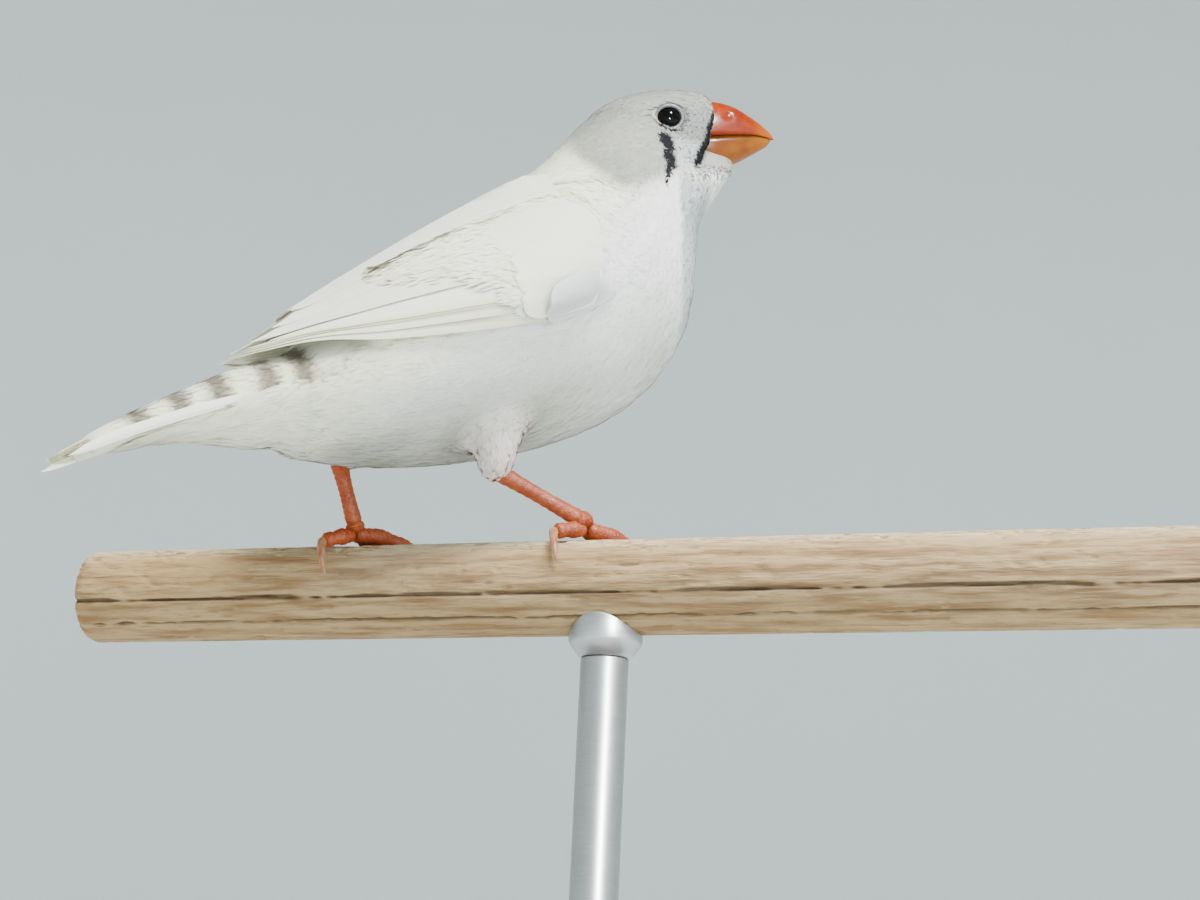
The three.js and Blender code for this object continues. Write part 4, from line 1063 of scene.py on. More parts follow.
def vane_form(place, feather, rng):
    """Corners, faces, vane coordinates and tones of one closed vane laid on a surface."""
    at = np.linspace(0, 1, VANE_ROWS) ** 0.8
    across = np.linspace(0, 1, VANE_COLUMNS)
    outline = np.interp(at, *zip(*VANE_OUTLINE))
    outline *= 1 + 0.03 * np.sin(at * rng.uniform(9, 16) + rng.uniform(0, 6)) * (at < 0.9)
    span = feather["wide"] * outline[:, None]
    low = feather["low"][0] + (feather["low"][1] - feather["low"][0]) * at[:, None]
    narrowing = (feather["wide"] - span) * feather.get("taper", 0.4) * (at[:, None] > 0.5)
    height = low + narrowing + span * across[None]
    u = feather["root"] + (feather["tip"] - feather["root"]) * at[:, None]
    u = u - (feather["tip"] - feather["root"]) * 0.05 * (across[None] - 0.35) ** 2 * at[:, None]
    u = np.broadcast_to(u, height.shape)
    lift = feather["lift"][0] + (feather["lift"][1] - feather["lift"][0]) * at[:, None]
    crown = feather.get("crown", 0.12) * np.sin(math.pi * across[None])
    lift = lift - feather["drop"] * outline[:, None] * across[None] + crown
    shaft = np.exp(-(((across[None] - 0.3) / 0.07) ** 2)) * 0.05 * (1 - at[:, None])
    thick = VANE_THICK * (1.15 - at[:, None] * 0.7) * (0.25 + 0.75 * np.sin(math.pi * across[None]))
    outer = place(u, height, lift + shaft)
    inner = place(u, height, lift - thick - 0.04)
    points = np.concatenate([outer.reshape(-1, 3), inner.reshape(-1, 3)])
    count = VANE_ROWS * VANE_COLUMNS
    faces = []
    for r in range(VANE_ROWS - 1):
        for c in range(VANE_COLUMNS - 1):
            k = r * VANE_COLUMNS + c
            quad = (k, k + 1, k + VANE_COLUMNS + 1, k + VANE_COLUMNS)
            faces.append(quad)
            faces.append(tuple(count + q for q in reversed(quad)))
    rim = [r * VANE_COLUMNS for r in range(VANE_ROWS)]
    rim += [(VANE_ROWS - 1) * VANE_COLUMNS + c for c in range(1, VANE_COLUMNS)]
    rim += [r * VANE_COLUMNS + VANE_COLUMNS - 1 for r in range(VANE_ROWS - 2, -1, -1)]
    rim += [c for c in range(VANE_COLUMNS - 2, 0, -1)]
    for here, after in zip(rim, rim[1:] + rim[:1]):
        faces.append((after, here, count + here, count + after))
    length_mm = feather["length"] * at[:, None] * np.ones_like(height)
    reach_mm = (across[None] - 0.3) * span
    grid = np.stack([length_mm, np.broadcast_to(reach_mm, height.shape)], axis=-1).reshape(-1, 2)
    tone = feather["tone"](at[:, None], across[None] * np.ones_like(height), span * across[None])
    return points, faces, np.tile(grid, (2, 1)), np.tile(tone.reshape(-1, 3), (2, 1))


def vanes(name, place, feathers, seed, flip=False):
    """A piece made of closed vanes, each with its own strip of the baked map."""
    rng = np.random.default_rng(seed)
    points = []
    faces = []
    grids = []
    tones = []
    strips = []
    columns = math.ceil(math.sqrt(len(feathers)))
    for k, feather in enumerate(feathers):
        form, sides, grid, tone = vane_form(place, feather, rng)
        start = sum(len(p) for p in points)
        points.append(form)
        faces += [tuple(start + q for q in (reversed(side) if flip else side)) for side in sides]
        grids.append(grid)
        tones.append(tone * rng.normal(1, 0.012))
        cell = np.array([k % columns, k // columns]) + 0.04
        half = np.repeat([[0, 0], [0, 0.48]], len(form) // 2, axis=0)
        share = np.column_stack([grid[:, 0] / feather["length"], 0.44 * (grid[:, 1] / feather["wide"] + 0.3)])
        strips.append((cell + 0.92 * (share + half)) / columns)
    mesh = bpy.data.meshes.new(name)
    mesh.from_pydata(placed(BIRD, np.concatenate(points)) * MM, [], faces)
    mesh.update()
    loops = np.empty(len(mesh.loops), int)
    mesh.loops.foreach_get("vertex_index", loops)
    mesh.uv_layers.new(name="OFBake").data.foreach_set("uv", np.concatenate(strips)[loops].ravel())
    mesh.uv_layers.new(name="vane").data.foreach_set("uv", np.concatenate(grids)[loops].ravel())
    paint(mesh, np.concatenate(tones))
    piece = new_piece(mesh)
    alone(piece)
    bpy.ops.object.shade_smooth_by_angle(angle=math.radians(60))
    mesh.materials.append(vane_finish)
    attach(piece, "root")
    return piece


def vane_cloth():
    """Barbs run out and back from the shaft, fine ridges with soft silky gloss."""
    at = place_in_mm()
    tint = painted()
    vane = Shade.node("UVMap", {"uv_map": "vane"})
    run_mm = Shade.node("SeparateXYZ", {}, {"Vector": vane}, output=0)
    reach = Shade.node("SeparateXYZ", {}, {"Vector": vane}, output=1)
    barb = run_mm - reach.math("ABSOLUTE") * 1.1
    ridges = (barb * 14.0).math("SINE") * 0.5 + 0.5
    frayed = cloud(at, 0.5, 3)
    shaft = 1 - reach.math("ABSOLUTE").within(0.03, 0.12)
    return {
        "Base Color": tinted(tint, 0.93 + 0.05 * ridges * frayed + 0.05 * frayed - 0.05 * shaft),
        "Roughness": 0.62,
        "Specular IOR Level": 0.3,
        "Sheen Weight": 0.1,
        "Normal": bump(ridges * 0.6 + frayed * 0.6 + shaft, 0.18, 0.05),
    }


vane_finish = finish("plumage_vane", vane_cloth)
VANE_WHITE = np.array((0.80, 0.80, 0.68))
VANE_CREAM = np.array((0.70, 0.67, 0.45))
# Painted shadow on a vane where the next feather laps over it
VANE_PAINTED_SHADOW = np.array((0.24, 0.20, 0.14))


def flight_tone(gap, edge_colour=VANE_WHITE, depth=1.0):
    """Pale along its open edge, a little greyer inwards, and a painted brown shadow where the next feather
    covers it.
    """
    def tone(at, across, height_mm):
        base = VANE_CREAM + (edge_colour - VANE_CREAM) * ramp(height_mm, 0, 0.9)[..., None]
        # Painted shadow in a band where the next feather covers the vane, as strong as depth
        painted_shadow = ramp(height_mm, gap * 0.7, gap) * (1 - ramp(height_mm, gap * 1.3, gap * 1.9)) * depth
        return base + (VANE_PAINTED_SHADOW - base) * painted_shadow[..., None]
    return tone


def soft_tone(colour, rim=0.06):
    """An even, pale covert with a slightly lighter rim."""
    def tone(at, across, height_mm):
        edge = ramp(at + 0 * across, 0.8, 1)
        return np.array(colour) * (1 - rim * (1 - edge))[..., None]
    return tone


# Rows of the wing from the lowest layer up. Root and tip are shares of the wing's length, and low is the
# height in mm of the open edge over the wing's own, for the first feather and the last.
WING_ROWS = [
    {
        "count": 4, "root": 0.26, "tip": (0.94, 1.0), "low": (2.6, 0.0), "wide": 4.2, "drop": 0.5,
        "lift": (-0.5, -0.3), "splay": (1.1, 1.0), "bunching": 1.3,
    },
    {
        "count": 2, "root": 0.26, "tip": (0.86, 0.9), "low": (5.2, 2.4), "wide": 5.2, "drop": 0.5,
        "lift": (-0.35, -0.1), "splay": (1.0, 1.0), "bunching": 1,
    },
    {
        "count": 3, "root": 0.2, "tip": (0.82, 0.93), "low": (12.2, 5.0), "wide": 7.2, "drop": 0.3,
        "lift": (-0.3, 0.02), "splay": (1, 0.95), "bunching": 1,
    },
    {
        "count": 5, "root": 0.12, "tip": (0.40, 0.34), "low": (8.5, 0.4), "wide": 4.6, "drop": 0.2,
        "lift": (-0.1, -0.04), "splay": (1, 1), "bunching": 1,
    },
]
WING_LENGTH = 52


def wing_feathers(rng):
    feathers = []
    for layer, row in enumerate(WING_ROWS):
        splay, draw = row["splay"]
        gap = 1.3 * abs(row["low"][0] - row["low"][1]) / (row["count"] - 1)
        for k in range(row["count"]):
            share = k / (row["count"] - 1)
            low = row["low"][0] + (row["low"][1] - row["low"][0]) * share ** row["bunching"]
            tip = row["tip"][0] + (row["tip"][1] - row["tip"][0]) * share + rng.uniform(-0.006, 0.006)
            tone = flight_tone(gap) if layer < 2 else soft_tone(VANE_WHITE)
            feathers.append({
                "root": row["root"],
                "tip": tip,
                "low": (low * splay, low * draw + rng.uniform(-0.1, 0.1)),
                "wide": row["wide"] * rng.uniform(0.97, 1.05),
                "drop": row["drop"],
                "lift": row["lift"] if layer else (row["lift"][0], row["lift"][1] * share - 0.1),
                "length": (tip - row["root"]) * WING_LENGTH,
                "tone": tone,
            })
    return feathers


for side, label in SIDES:
    feathers = wing_feathers(np.random.default_rng(31))
    wing = vanes(f"wing_feathers_{label}", wing_place(side), feathers, 5, side > 0)
    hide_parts(f"wing_{label}")

# Breast sides: a broad smooth feather on each side, pale lavender-grey with a lighter rim. It lies on the
# plumage and laps back over the wing's lower edge.
LOBE_ROOT = (9.2, 37.3)
LOBE_TIP = (-1.7, 32.2)
LOBE_LIFT = 1.3
LOBE_CLEAR = 1.5
LOBE_GREY = np.array((0.58, 0.575, 0.60))
LOBE_RIM = np.array((0.66, 0.66, 0.65))


def lobe_place(side):
    """Places over the breast's side by share of the lobe's length, distance up from its middle and lift."""
    def place(u, height, lift):
        along_it = np.subtract(LOBE_TIP, LOBE_ROOT)
        up = np.array([-along_it[1], along_it[0]]) / -np.linalg.norm(along_it)
        flat = np.array(LOBE_ROOT) + u[..., None] * along_it + height[..., None] * up
        aim = np.stack([flat[..., 0], np.full(u.shape, side * 30.0), flat[..., 1]], axis=-1).reshape(-1, 3)
        inward = Vector(in_world([0, -side, 0]))
        hits = [skin_tree.ray_cast(Vector(p), inward)[0] for p in placed(BIRD, aim)]
        out_by = side * seen_from(BIRD, np.array(hits))[:, 1]
        a = u.ravel() - 0.5
        b = height.ravel() / 3
        bowl = np.column_stack([np.ones(len(a)), a, b, a * a, a * b, b * b])
        smooth = bowl @ np.linalg.lstsq(bowl, out_by, rcond=None)[0] + LOBE_LIFT
        aim[:, 1] = side * (np.maximum(smooth, out_by + LOBE_CLEAR) + lift.ravel())
        return aim.reshape(u.shape + (3,))
    return place


def lobe_tone(at, across, height_mm):
    rim = np.maximum(ramp(np.abs(across - 0.5), 0.36, 0.47), ramp(at + 0 * across, 0.9, 0.98))
    pale = np.maximum(rim, 1 - ramp(at + 0 * across, 0.05, 0.35))
    return LOBE_GREY + (LOBE_RIM - LOBE_GREY) * pale[..., None]


LOBE = {
    "root": 0.0, "tip": 1.0, "low": (-0.6, -2.3), "wide": 4.9, "drop": 0.3,
    "lift": (-0.45, 0.05), "crown": 0.25, "length": 12, "tone": lobe_tone,
}
for side, label in SIDES:
    vanes(f"breast_side_{label}", lobe_place(side), [LOBE], 6, side > 0)

# Tail: six flight feathers a side stacked to a narrow blade, and one more along each side for its clean edge.
# The barred coverts over them and the long white ones below are contour plumage.
def tail_place(side):
    """Places on the tail's roof by share of its length, distance out from its ridge and lift, in mm."""
    def place(u, height, lift):
        x, ridge, edge, _, wide = (along(TAIL_STATIONS, u)[..., k] for k in range(5))
        share = np.clip(height / wide, -0.2, 1)
        z = edge + (ridge - edge) * tail_roof(u, share) + lift
        return np.stack([x, side * wide * share, z], axis=-1)
    return place


TAIL_LENGTH = 33
RECTRICES = 6


def rectrix(k):
    share = k / (RECTRICES - 1)
    reach = 1.9 + 2.7 * share
    return {
        "root": 0.42,
        "tip": 1 - 0.035 * share,
        "low": (reach * 1.1, reach),
        "wide": -reach * 0.98,
        "taper": 0.3,
        "drop": 0.28 * k,
        "crown": -0.05,
        "lift": (-0.9 - 0.05 * k, -0.1 - 0.06 * k),
        "length": 0.58 * TAIL_LENGTH,
        "tone": flight_tone(-9, VANE_WHITE, 0),
    }


def tail_side(side):
    """Places on the tail's side by share of its length, height over its edge and lift out from it, in mm."""
    def place(u, height, lift):
        x, _, edge, _, wide = (along(TAIL_STATIONS, u)[..., k] for k in range(5))
        return np.stack([x, side * (wide + lift), edge + height], axis=-1)
    return place


OUTER_RECTRIX = {
    "root": 0.2, "tip": 0.985, "low": (-0.1, -0.6), "wide": 1.5, "drop": 0.1, "lift": (-0.1, 0.35),
    "length": 0.6 * TAIL_LENGTH, "tone": soft_tone(VANE_WHITE), "crown": 0.1,
}
for side, label in SIDES:
    vanes(f"tail_outer_{label}", tail_side(side), [OUTER_RECTRIX], 9, side > 0)
    feathers = [rectrix(k) for k in range(RECTRICES)]
    fan = vanes(f"tail_feathers_{label}", tail_place(side), feathers, 8, side < 0)
    if label == "left":
        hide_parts("tail")

# Eyes: moist dark brown globes with a black pupil under a clear cornea, set deep between bare lids.
PUPIL_RADIUS = 1.35
CORNEA_RISE = 0.22
EYE_FLATNESS = 0.93


def eye_glass(side):
    def lay_out():
        middle = placed(HEAD, [(EYE_AT[0], side * EYE_AT[1], EYE_AT[2])])[0]
        away = placed(HEAD, [(EYE_AT[0], side * (EYE_AT[1] + 1), EYE_AT[2])])[0] - middle
        out_from = Shade.node("VectorMath", {"operation": "SUBTRACT"}, {0: place_in_mm(), 1: tuple(middle)})
        dot = {"operation": "DOT_PRODUCT"}
        facing = Shade.node("VectorMath", dot, {0: out_from, 1: tuple(away)}, output=1)
        reach = Shade.node("VectorMath", {"operation": "LENGTH"}, {0: out_from}, output=1)
        beside = (reach * reach - facing * facing).math("MAXIMUM", 0.0).math("SQRT")
        iris = beside.within(PUPIL_RADIUS - 0.12, PUPIL_RADIUS + 0.08)
        fibres = cloud(place_in_mm(), 0.12, 3)
        brown = blended(fibres, (0.010, 0.004, 0.002, 1), (0.025, 0.010, 0.005, 1))
        return {
            "Base Color": blended(iris, (0.003, 0.003, 0.003, 1), brown),
            "Roughness": 0.04,
            "Specular IOR Level": 0.1,
        }
    return lay_out


def ball(side):
    """Shape of an eyeball: a globe, a little lower than wide, that bulges at the cornea."""
    def shape(share, turn):
        polar = share * math.pi
        bulge = 1 + CORNEA_RISE / EYE_RADIUS * np.exp(-((polar / 0.62) ** 4))
        radius = EYE_RADIUS * bulge
        x = radius * np.sin(polar) * np.cos(turn)
        z = EYE_FLATNESS * radius * np.sin(polar) * np.sin(turn)
        y = side * (radius * np.cos(polar) - 0.06)
        return placed(HEAD, np.column_stack([EYE_AT[0] + x, side * EYE_AT[1] + y, EYE_AT[2] + z]))
    return shape


for side, label in SIDES:
    eye = rounded_form(f"eyeball_{label}", 48, 32, ball(side))
    eye.data.materials.append(finish(f"eye_{label}", eye_glass(side)))
    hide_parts(f"eye_{label}")
    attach(eye, "root")

# Eyelids: a rim of bare lavender-grey skin round each eye, finely beaded, darker along its outer edge.
LID_LENGTH = 4.0
LID_HEIGHT = 3.35
LID_WIDE = 0.32
LID_THICK = 0.3
LID_TORUS = 0.3


def lid_skin():
    at = place_in_mm()
    beads = Shade.node("TexVoronoi", {"feature": "F1"}, {"Vector": at, "Scale": 4.5})
    tint = painted()
    return {
        "Base Color": tinted(tint, 1.1 - 0.5 * beads),
        "Roughness": 0.5,
        "Normal": bump(1 - beads, 0.5, 0.06),
    }


lid_finish = finish("lid_skin", lid_skin)
LID_PALE = np.array((0.10, 0.097, 0.12))
LID_DARK = np.array((0.022, 0.021, 0.028))
for side, label in SIDES:
    bpy.ops.object.select_all(action="DESELECT")
    bpy.ops.mesh.primitive_torus_add(
        major_segments=72, minor_segments=14, major_radius=1, minor_radius=LID_TORUS
    )
    lid = bpy.context.object
    lid.name = f"eyelids_{label}"
    ring = corners(lid.data) * MM
    turn = np.arctan2(ring[:, 1], ring[:, 0])
    out_by = (np.hypot(ring[:, 0], ring[:, 1]) - 1) / LID_TORUS
    rise = ring[:, 2] / LID_TORUS
    reach = 1 + LID_WIDE * out_by / (LID_LENGTH / 2)
    corner_pull = 0.16 * np.exp(-(((np.abs(turn) - math.pi) / 0.35) ** 2))
    dx = LID_LENGTH / 2 * np.cos(turn) * (reach + corner_pull * (out_by > -0.5))
    dz = LID_HEIGHT / 2 * np.sin(turn) * reach
    seat = np.sqrt(np.maximum((EYE_RADIUS + 0.3) ** 2 - dx * dx - dz * dz, 0.2))
    outward = unit(np.column_stack([dx, side * seat, dz]))
    beaded = 1 + 0.12 * np.sin(turn * 30) * np.cos(out_by * 3)
    spot = np.column_stack([EYE_AT[0] + dx, side * (EYE_AT[1] + seat), EYE_AT[2] + dz])
    spot += outward * (LID_THICK * rise * beaded - 0.1)[:, None]
    set_corners(lid.data, placed(HEAD, spot))
    turned_outward(lid)
    bpy.ops.object.shade_smooth()
    paint(lid.data, LID_PALE + (LID_DARK - LID_PALE) * ramp(out_by, 0.25, 0.85)[:, None])
    lid.data.materials.append(lid_finish)
    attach(lid, "root")

# Bill: two horny halves that meet on a gently bent line, with a rounded ridge and nostrils at the root.
# The upper is red-orange, the lower lighter and more yellow, both paler towards the tip. Each station gives
# x, the heights of ridge, mouth and keel, and the half width.
BILL_STATIONS = [
    (5.6, 5.3, 0.2, -3.5, 3.7), (8.2, 5.5, 0.4, -3.5, 3.7), (11.2, 4.85, 0.75, -3.05, 2.95),
    (14.2, 3.2, 0.9, -1.5, 1.75), (16, 1.9, 0.7, -0.4, 0.85),
]
BILL_TIP = (17.1, 0.5)
MOUTH_GAP = 0.1
NOSTRIL_AT = (10.1, 3.3)


def bill_half(upper):
    def shape(share, turn):
        t = np.clip(share, 0, 1) ** 0.9
        past = np.clip((t - 0.86) / 0.14, 0, 1)
        x, ridge, mouth, keel, wide = (along(BILL_STATIONS, np.minimum(t / 0.86, 1))[:, k] for k in range(5))
        close = np.maximum(0, 1 - past) ** 0.72
        tip_x = BILL_TIP[0] - (0 if upper else 0.45)
        x = x + (tip_x - x) * past
        mouth = mouth + (BILL_TIP[1] - mouth) * past
        open_end = np.sqrt(np.clip(share / 0.03, 0, 1))
        angle = np.where(turn < 0, turn + 2 * math.pi, turn)
        far = (ridge - mouth) * close if upper else (mouth - keel) * close
        sine = np.sin(angle)
        cosine = np.cos(angle)
        round_off = np.abs(sine) ** (0.85 if upper else 0.6)
        side_to = wide * (1 if upper else 0.9) * close * open_end * cosine
        rise = np.where(sine >= 0, far * round_off, 0.05 * round_off) * open_end
        tomium = 0.12 * np.sin(math.pi * t) * np.abs(cosine) ** 6 * (1 if upper else -0.5)
        z = mouth + (1 if upper else -1) * (MOUTH_GAP / 2 + rise) - tomium
        if upper:
            nostril = np.hypot((x - NOSTRIL_AT[0]) / 0.62, (z - NOSTRIL_AT[1]) / 0.4)
            side_to = side_to - np.sign(cosine) * 0.55 * np.exp(-(nostril**2)) * (np.abs(cosine) > 0.2)
        return placed(HEAD, np.column_stack([x, side_to, z]))
    return shape


def horn(deep, light, tip):
    def lay_out():
        at = place_in_mm()
        tip_at = placed(HEAD, [(BILL_TIP[0], 0, BILL_TIP[1])])[0]
        gap = Shade.node("VectorMath", {"operation": "DISTANCE"}, {0: at, 1: tuple(tip_at)}, output=1)
        mottled = cloud(at, 1.6, 3)
        fine = cloud(at, 0.35, 3)
        body = blended(mottled.within(0.3, 0.75), deep, light)
        return {
            "Base Color": tinted(blended(gap.within(0.6, 5.5), tip, body), 0.94 + 0.12 * fine),
            "Roughness": 0.24 + 0.18 * fine,
            "Specular IOR Level": 0.15,
            "Coat Weight": 0.12,
            "Coat Roughness": 0.12,
            "Subsurface Weight": 0.05,
            "Subsurface Scale": 0.001,
            "Normal": bump(mottled + 0.4 * fine, 0.25, 0.12),
        }
    return lay_out


# Dark and light patches of the horn, and its tip
UPPER_HORN = ((0.20, 0.014, 0.0, 1), (0.29, 0.03, 0.0, 1), (0.36, 0.075, 0.0, 1))
LOWER_HORN = ((0.21, 0.045, 0.0, 1), (0.29, 0.082, 0.0, 1), (0.34, 0.11, 0.0, 1))
BILL_FINISHES = {
    True: finish("bill_upper_horn", horn(*UPPER_HORN)),
    False: finish("bill_lower_horn", horn(*LOWER_HORN)),
}
for upper, label in ((True, "upper"), (False, "lower")):
    half = rounded_form(f"mandible_{label}", 64, 72, bill_half(upper))
    half.data.materials.append(BILL_FINISHES[upper])
    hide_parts(f"bill_{label}")
    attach(half, "root")

# Legs and feet: bare scaly shanks and toes of orange-pink horn, closed round the dowel, with slim claws.
# Wide overlapping scutes run down the front and along each toe's top, and soft pads lie under the toes.
PERCH_RADIUS = 6
TOE_REST = 1.35
FEET = [
    {"name": "right", "side": -1, "foot": (15.0, -0.5, 8.2), "ankle": (4.2, -7.4, 14.0)},
    {"name": "left", "side": 1, "foot": (-15.6, -2.0, 7.9), "ankle": (-17.4, -5.2, 16.4)},
]
SHANK_RADII = [1.3, 1.05, 0.95, 1.0, 1.15]
TOE_RADII = [1.15, 0.95, 1.1, 0.88, 1.0, 0.75]
TOE_LENGTHS = [9.2, 11.6, 8.4]
TOE_HEADING = 69
TOE_SPREAD = 21
HALLUX = {"length": 4.5, "claw_length": 6.2, "heading": 222, "claw": 286}
HUB_RADII = [0.95, 1.3, 1.35]
CLAW_LENGTH = 5.2
CLAW_RADII = [0.62, 0.55, 0.4, 0.1]
CLAW_LIFTS = [1.35, 1.6, 1.4, 0.7]


def perch_point(x, angle, lift):
    reach = PERCH_RADIUS + lift
    return np.stack([x, reach * np.sin(angle), reach * np.cos(angle)], axis=-1)


def leg_skin():
    at = place_in_mm()
    scales = Shade.node("TexVoronoi", {"feature": "DISTANCE_TO_EDGE"}, {"Vector": at, "Scale": 1.9})
    seams = 1 - scales.within(0.02, 0.16)
    patchy = cloud(at, 1.8, 3)
    fine = cloud(at, 0.2, 3)
    body = blended(patchy.within(0.3, 0.7), (0.27, 0.034, 0.003, 1), (0.34, 0.07, 0.013, 1))
    return {
        "Base Color": tinted(blended(seams * 0.4, body, (0.20, 0.04, 0.015, 1)), 0.92 + 0.16 * fine),
        "Roughness": 0.42 + 0.2 * fine,
        "Specular IOR Level": 0.2,
        "Subsurface Weight": 0.1,
        "Subsurface Scale": 0.001,
        "Coat Weight": 0.03,
        "Normal": bump(scales.within(0.0, 0.25) + 0.3 * fine, 0.35, 0.12),
    }


def claw_horn():
    at = place_in_mm()
    growth = cloud(at, 0.7, 3, (1, 1, 0.4))
    return {
        "Base Color": blended(growth.within(0.3, 0.7), (0.27, 0.095, 0.04, 1), (0.38, 0.20, 0.11, 1)),
        "Roughness": 0.35 + 0.15 * growth,
        "Specular IOR Level": 0.2,
        "Coat Weight": 0.2,
        "Subsurface Weight": 0.15,
        "Subsurface Scale": 0.001,
        "Normal": bump(growth, 0.2, 0.08),
    }


leg_finish = finish("leg_skin_scaled", leg_skin)
claw_finish = finish("claw_horn", claw_horn)


OUT_SIDE = np.array((math.cos(math.radians(TOE_HEADING)), math.sin(math.radians(TOE_HEADING)), 0.6))


def shank_front(points):
    return np.broadcast_to(OUT_SIDE, points.shape)


def toe_top(points):
    return unit(points * (0, 1, 1))


def on_stand(shape):
    """A shape given from the middle between the feet, at its place on the stand."""
    return lambda share, turn: shape(share, turn) + np.array(FEET_MIDDLE)


reach = PERCH_RADIUS + TOE_REST
for leg in FEET:
    foot = np.array(leg["foot"])
    ankle = np.array(leg["ankle"])
    shank_line = [ankle + (foot - ankle) * f for f in np.linspace(-0.02, 0.96, 12)]
    shank = rounded_form(
        f"shank_scaled_{leg['name']}", 28, 110,
        on_stand(limb(shank_line, SHANK_RADII, shank_front, 9, 0.07)),
    )
    shank.data.materials.append(leg_finish)
    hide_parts(f"shank_{leg['name']}")
    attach(shank, "root")

    toes = []
    for place, toe_length in zip((1, 0, -1), TOE_LENGTHS):
        heading = TOE_HEADING + leg["side"] * place * TOE_SPREAD
        claw = (heading + 90) / 2
        toes.append({"length": toe_length, "claw_length": CLAW_LENGTH, "heading": heading, "claw": claw})
    toes.append(HALLUX)
    forms = []
    for number, toe in enumerate(toes):
        turn_to = math.radians(toe["heading"])
        d = np.linspace(0, toe["length"] * 1.03, 14)
        angles = (foot[1] + math.sin(turn_to) * d) / reach
        line = perch_point(foot[0] + math.cos(turn_to) * d, angles, TOE_REST)
        plates = round(toe["length"] * 1.25)
        forms.append(rounded_form("toe", 20, 70, on_stand(limb(line, TOE_RADII, toe_top, plates, 0.1))))
        claw_to = math.radians(toe["claw"])
        start_x = foot[0] + math.cos(turn_to) * toe["length"]
        start_angle = (foot[1] + math.sin(turn_to) * toe["length"]) / reach
        lifts = along([(lift,) for lift in CLAW_LIFTS], np.linspace(0, 1, 12))[:, 0]
        d = np.linspace(-0.4, toe["claw_length"], 12)
        claw_line = perch_point(
            start_x + math.cos(claw_to) * d, start_angle + math.sin(claw_to) * d / reach, lifts
        )
        claw = rounded_form(
            f"claw_horn_{leg['name']}_{number + 1}", 18, 36,
            on_stand(limb(claw_line, CLAW_RADII, toe_top)),
        )
        claw.data.materials.append(claw_finish)
        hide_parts(f"claw_{leg['name']}_{number + 1}")
        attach(claw, "root")
    hub_line = [foot + (ankle - foot) * 0.14, foot + (ankle - foot) * 0.02, foot + (0, 0, -0.6)]
    forms.append(rounded_form("hub", 24, 40, on_stand(limb(hub_line, HUB_RADII, toe_top, 4, 0.08))))
    toes_piece = joined(f"foot_scaled_{leg['name']}", forms)
    toes_piece.data.materials.append(leg_finish)
    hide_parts(f"foot_{leg['name']}")
    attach(toes_piece, "root")

# Perch: a pale softwood dowel, its top worn rough by claws, with two long ragged cracks along its front.
PERCH_AXIS = (4, 0, 80)
PERCH_LENGTH = 150
# Places of the cracks, in degrees round the dowel from its top, and their depth
CRACKS = [(-107, 0.55), (-139, 0.4)]
EDGE_ROUND = 0.35
bpy.ops.object.select_all(action="DESELECT")
bpy.ops.mesh.primitive_cylinder_add(
    vertices=144, radius=PERCH_RADIUS, depth=PERCH_LENGTH, end_fill_type="TRIFAN"
)
dowel = bpy.context.object
dowel.name = "perch_dowel"
bpy.ops.object.mode_set(mode="EDIT")
bpy.ops.mesh.select_all(action="SELECT")
dowel_form = bmesh.from_edit_mesh(dowel.data)
lengthways = [e for e in dowel_form.edges if abs(e.verts[0].co.z - e.verts[1].co.z) > 1]
bmesh.ops.subdivide_edges(dowel_form, edges=lengthways, cuts=380, use_grid_fill=True)
bmesh.update_edit_mesh(dowel.data)
bpy.ops.object.mode_set(mode="OBJECT")
upright = corners(dowel.data) * MM
x = upright[:, 2]
turn = np.arctan2(-upright[:, 0], upright[:, 1])
reach = np.hypot(upright[:, 0], upright[:, 1])


def dowel_noise(long, around, shift=0):
    """Smooth noise over the dowel, its features that long in mm and that fine round it."""
    return np.array([
        noise.noise(Vector((px / long, around * math.sin(a), around * math.cos(a) + shift)))
        for px, a in zip(x, turn)
    ])


grain = dowel_noise(9, 3)
fibre = dowel_noise(5, 22)
pits = dowel_noise(1.6, 6, 9)
facing_up = ramp(np.cos(turn), 0.55, 0.9)
dents = ramp(pits, 0.05, 0.5) * (0.4 + 0.6 * facing_up) * ramp(grain, -0.5, 0.3)
relief = 0.1 * grain + 0.2 * fibre - 0.55 * dents
crack_depth = np.zeros(len(x))
for degrees, depth in CRACKS:
    wander = 0.045 * grain + 0.02 * fibre
    gap = np.abs(turn - math.radians(degrees) - wander) * PERCH_RADIUS
    broken = ramp(grain + 0.6 * pits, -0.75, 0.1)
    crack_depth = np.maximum(crack_depth, depth * (1 - ramp(gap, 0.05, 0.32)) * broken)
shrink = (relief - crack_depth) * (reach > PERCH_RADIUS - 0.01)
end_gap = PERCH_LENGTH / 2 - np.abs(x)
shrink -= EDGE_ROUND * (1 - ramp(end_gap, 0, 0.8)) * (reach > PERCH_RADIUS - 0.01)
factor = np.where(reach > 0.01, (reach + np.minimum(shrink, 0.0)) / np.maximum(reach, 0.01), 1)
spot = np.column_stack([x, reach * factor * np.sin(turn), reach * factor * np.cos(turn)])
set_corners(dowel.data, spot + PERCH_AXIS)
turned_outward(dowel)
bpy.ops.object.shade_smooth_by_angle(angle=math.radians(50))
# For the finish: the cracks' depth, where painted shade darkens them, and how much the surface faces up,
# where it is paler
paint(dowel.data, np.column_stack([crack_depth, facing_up, 0 * x]))


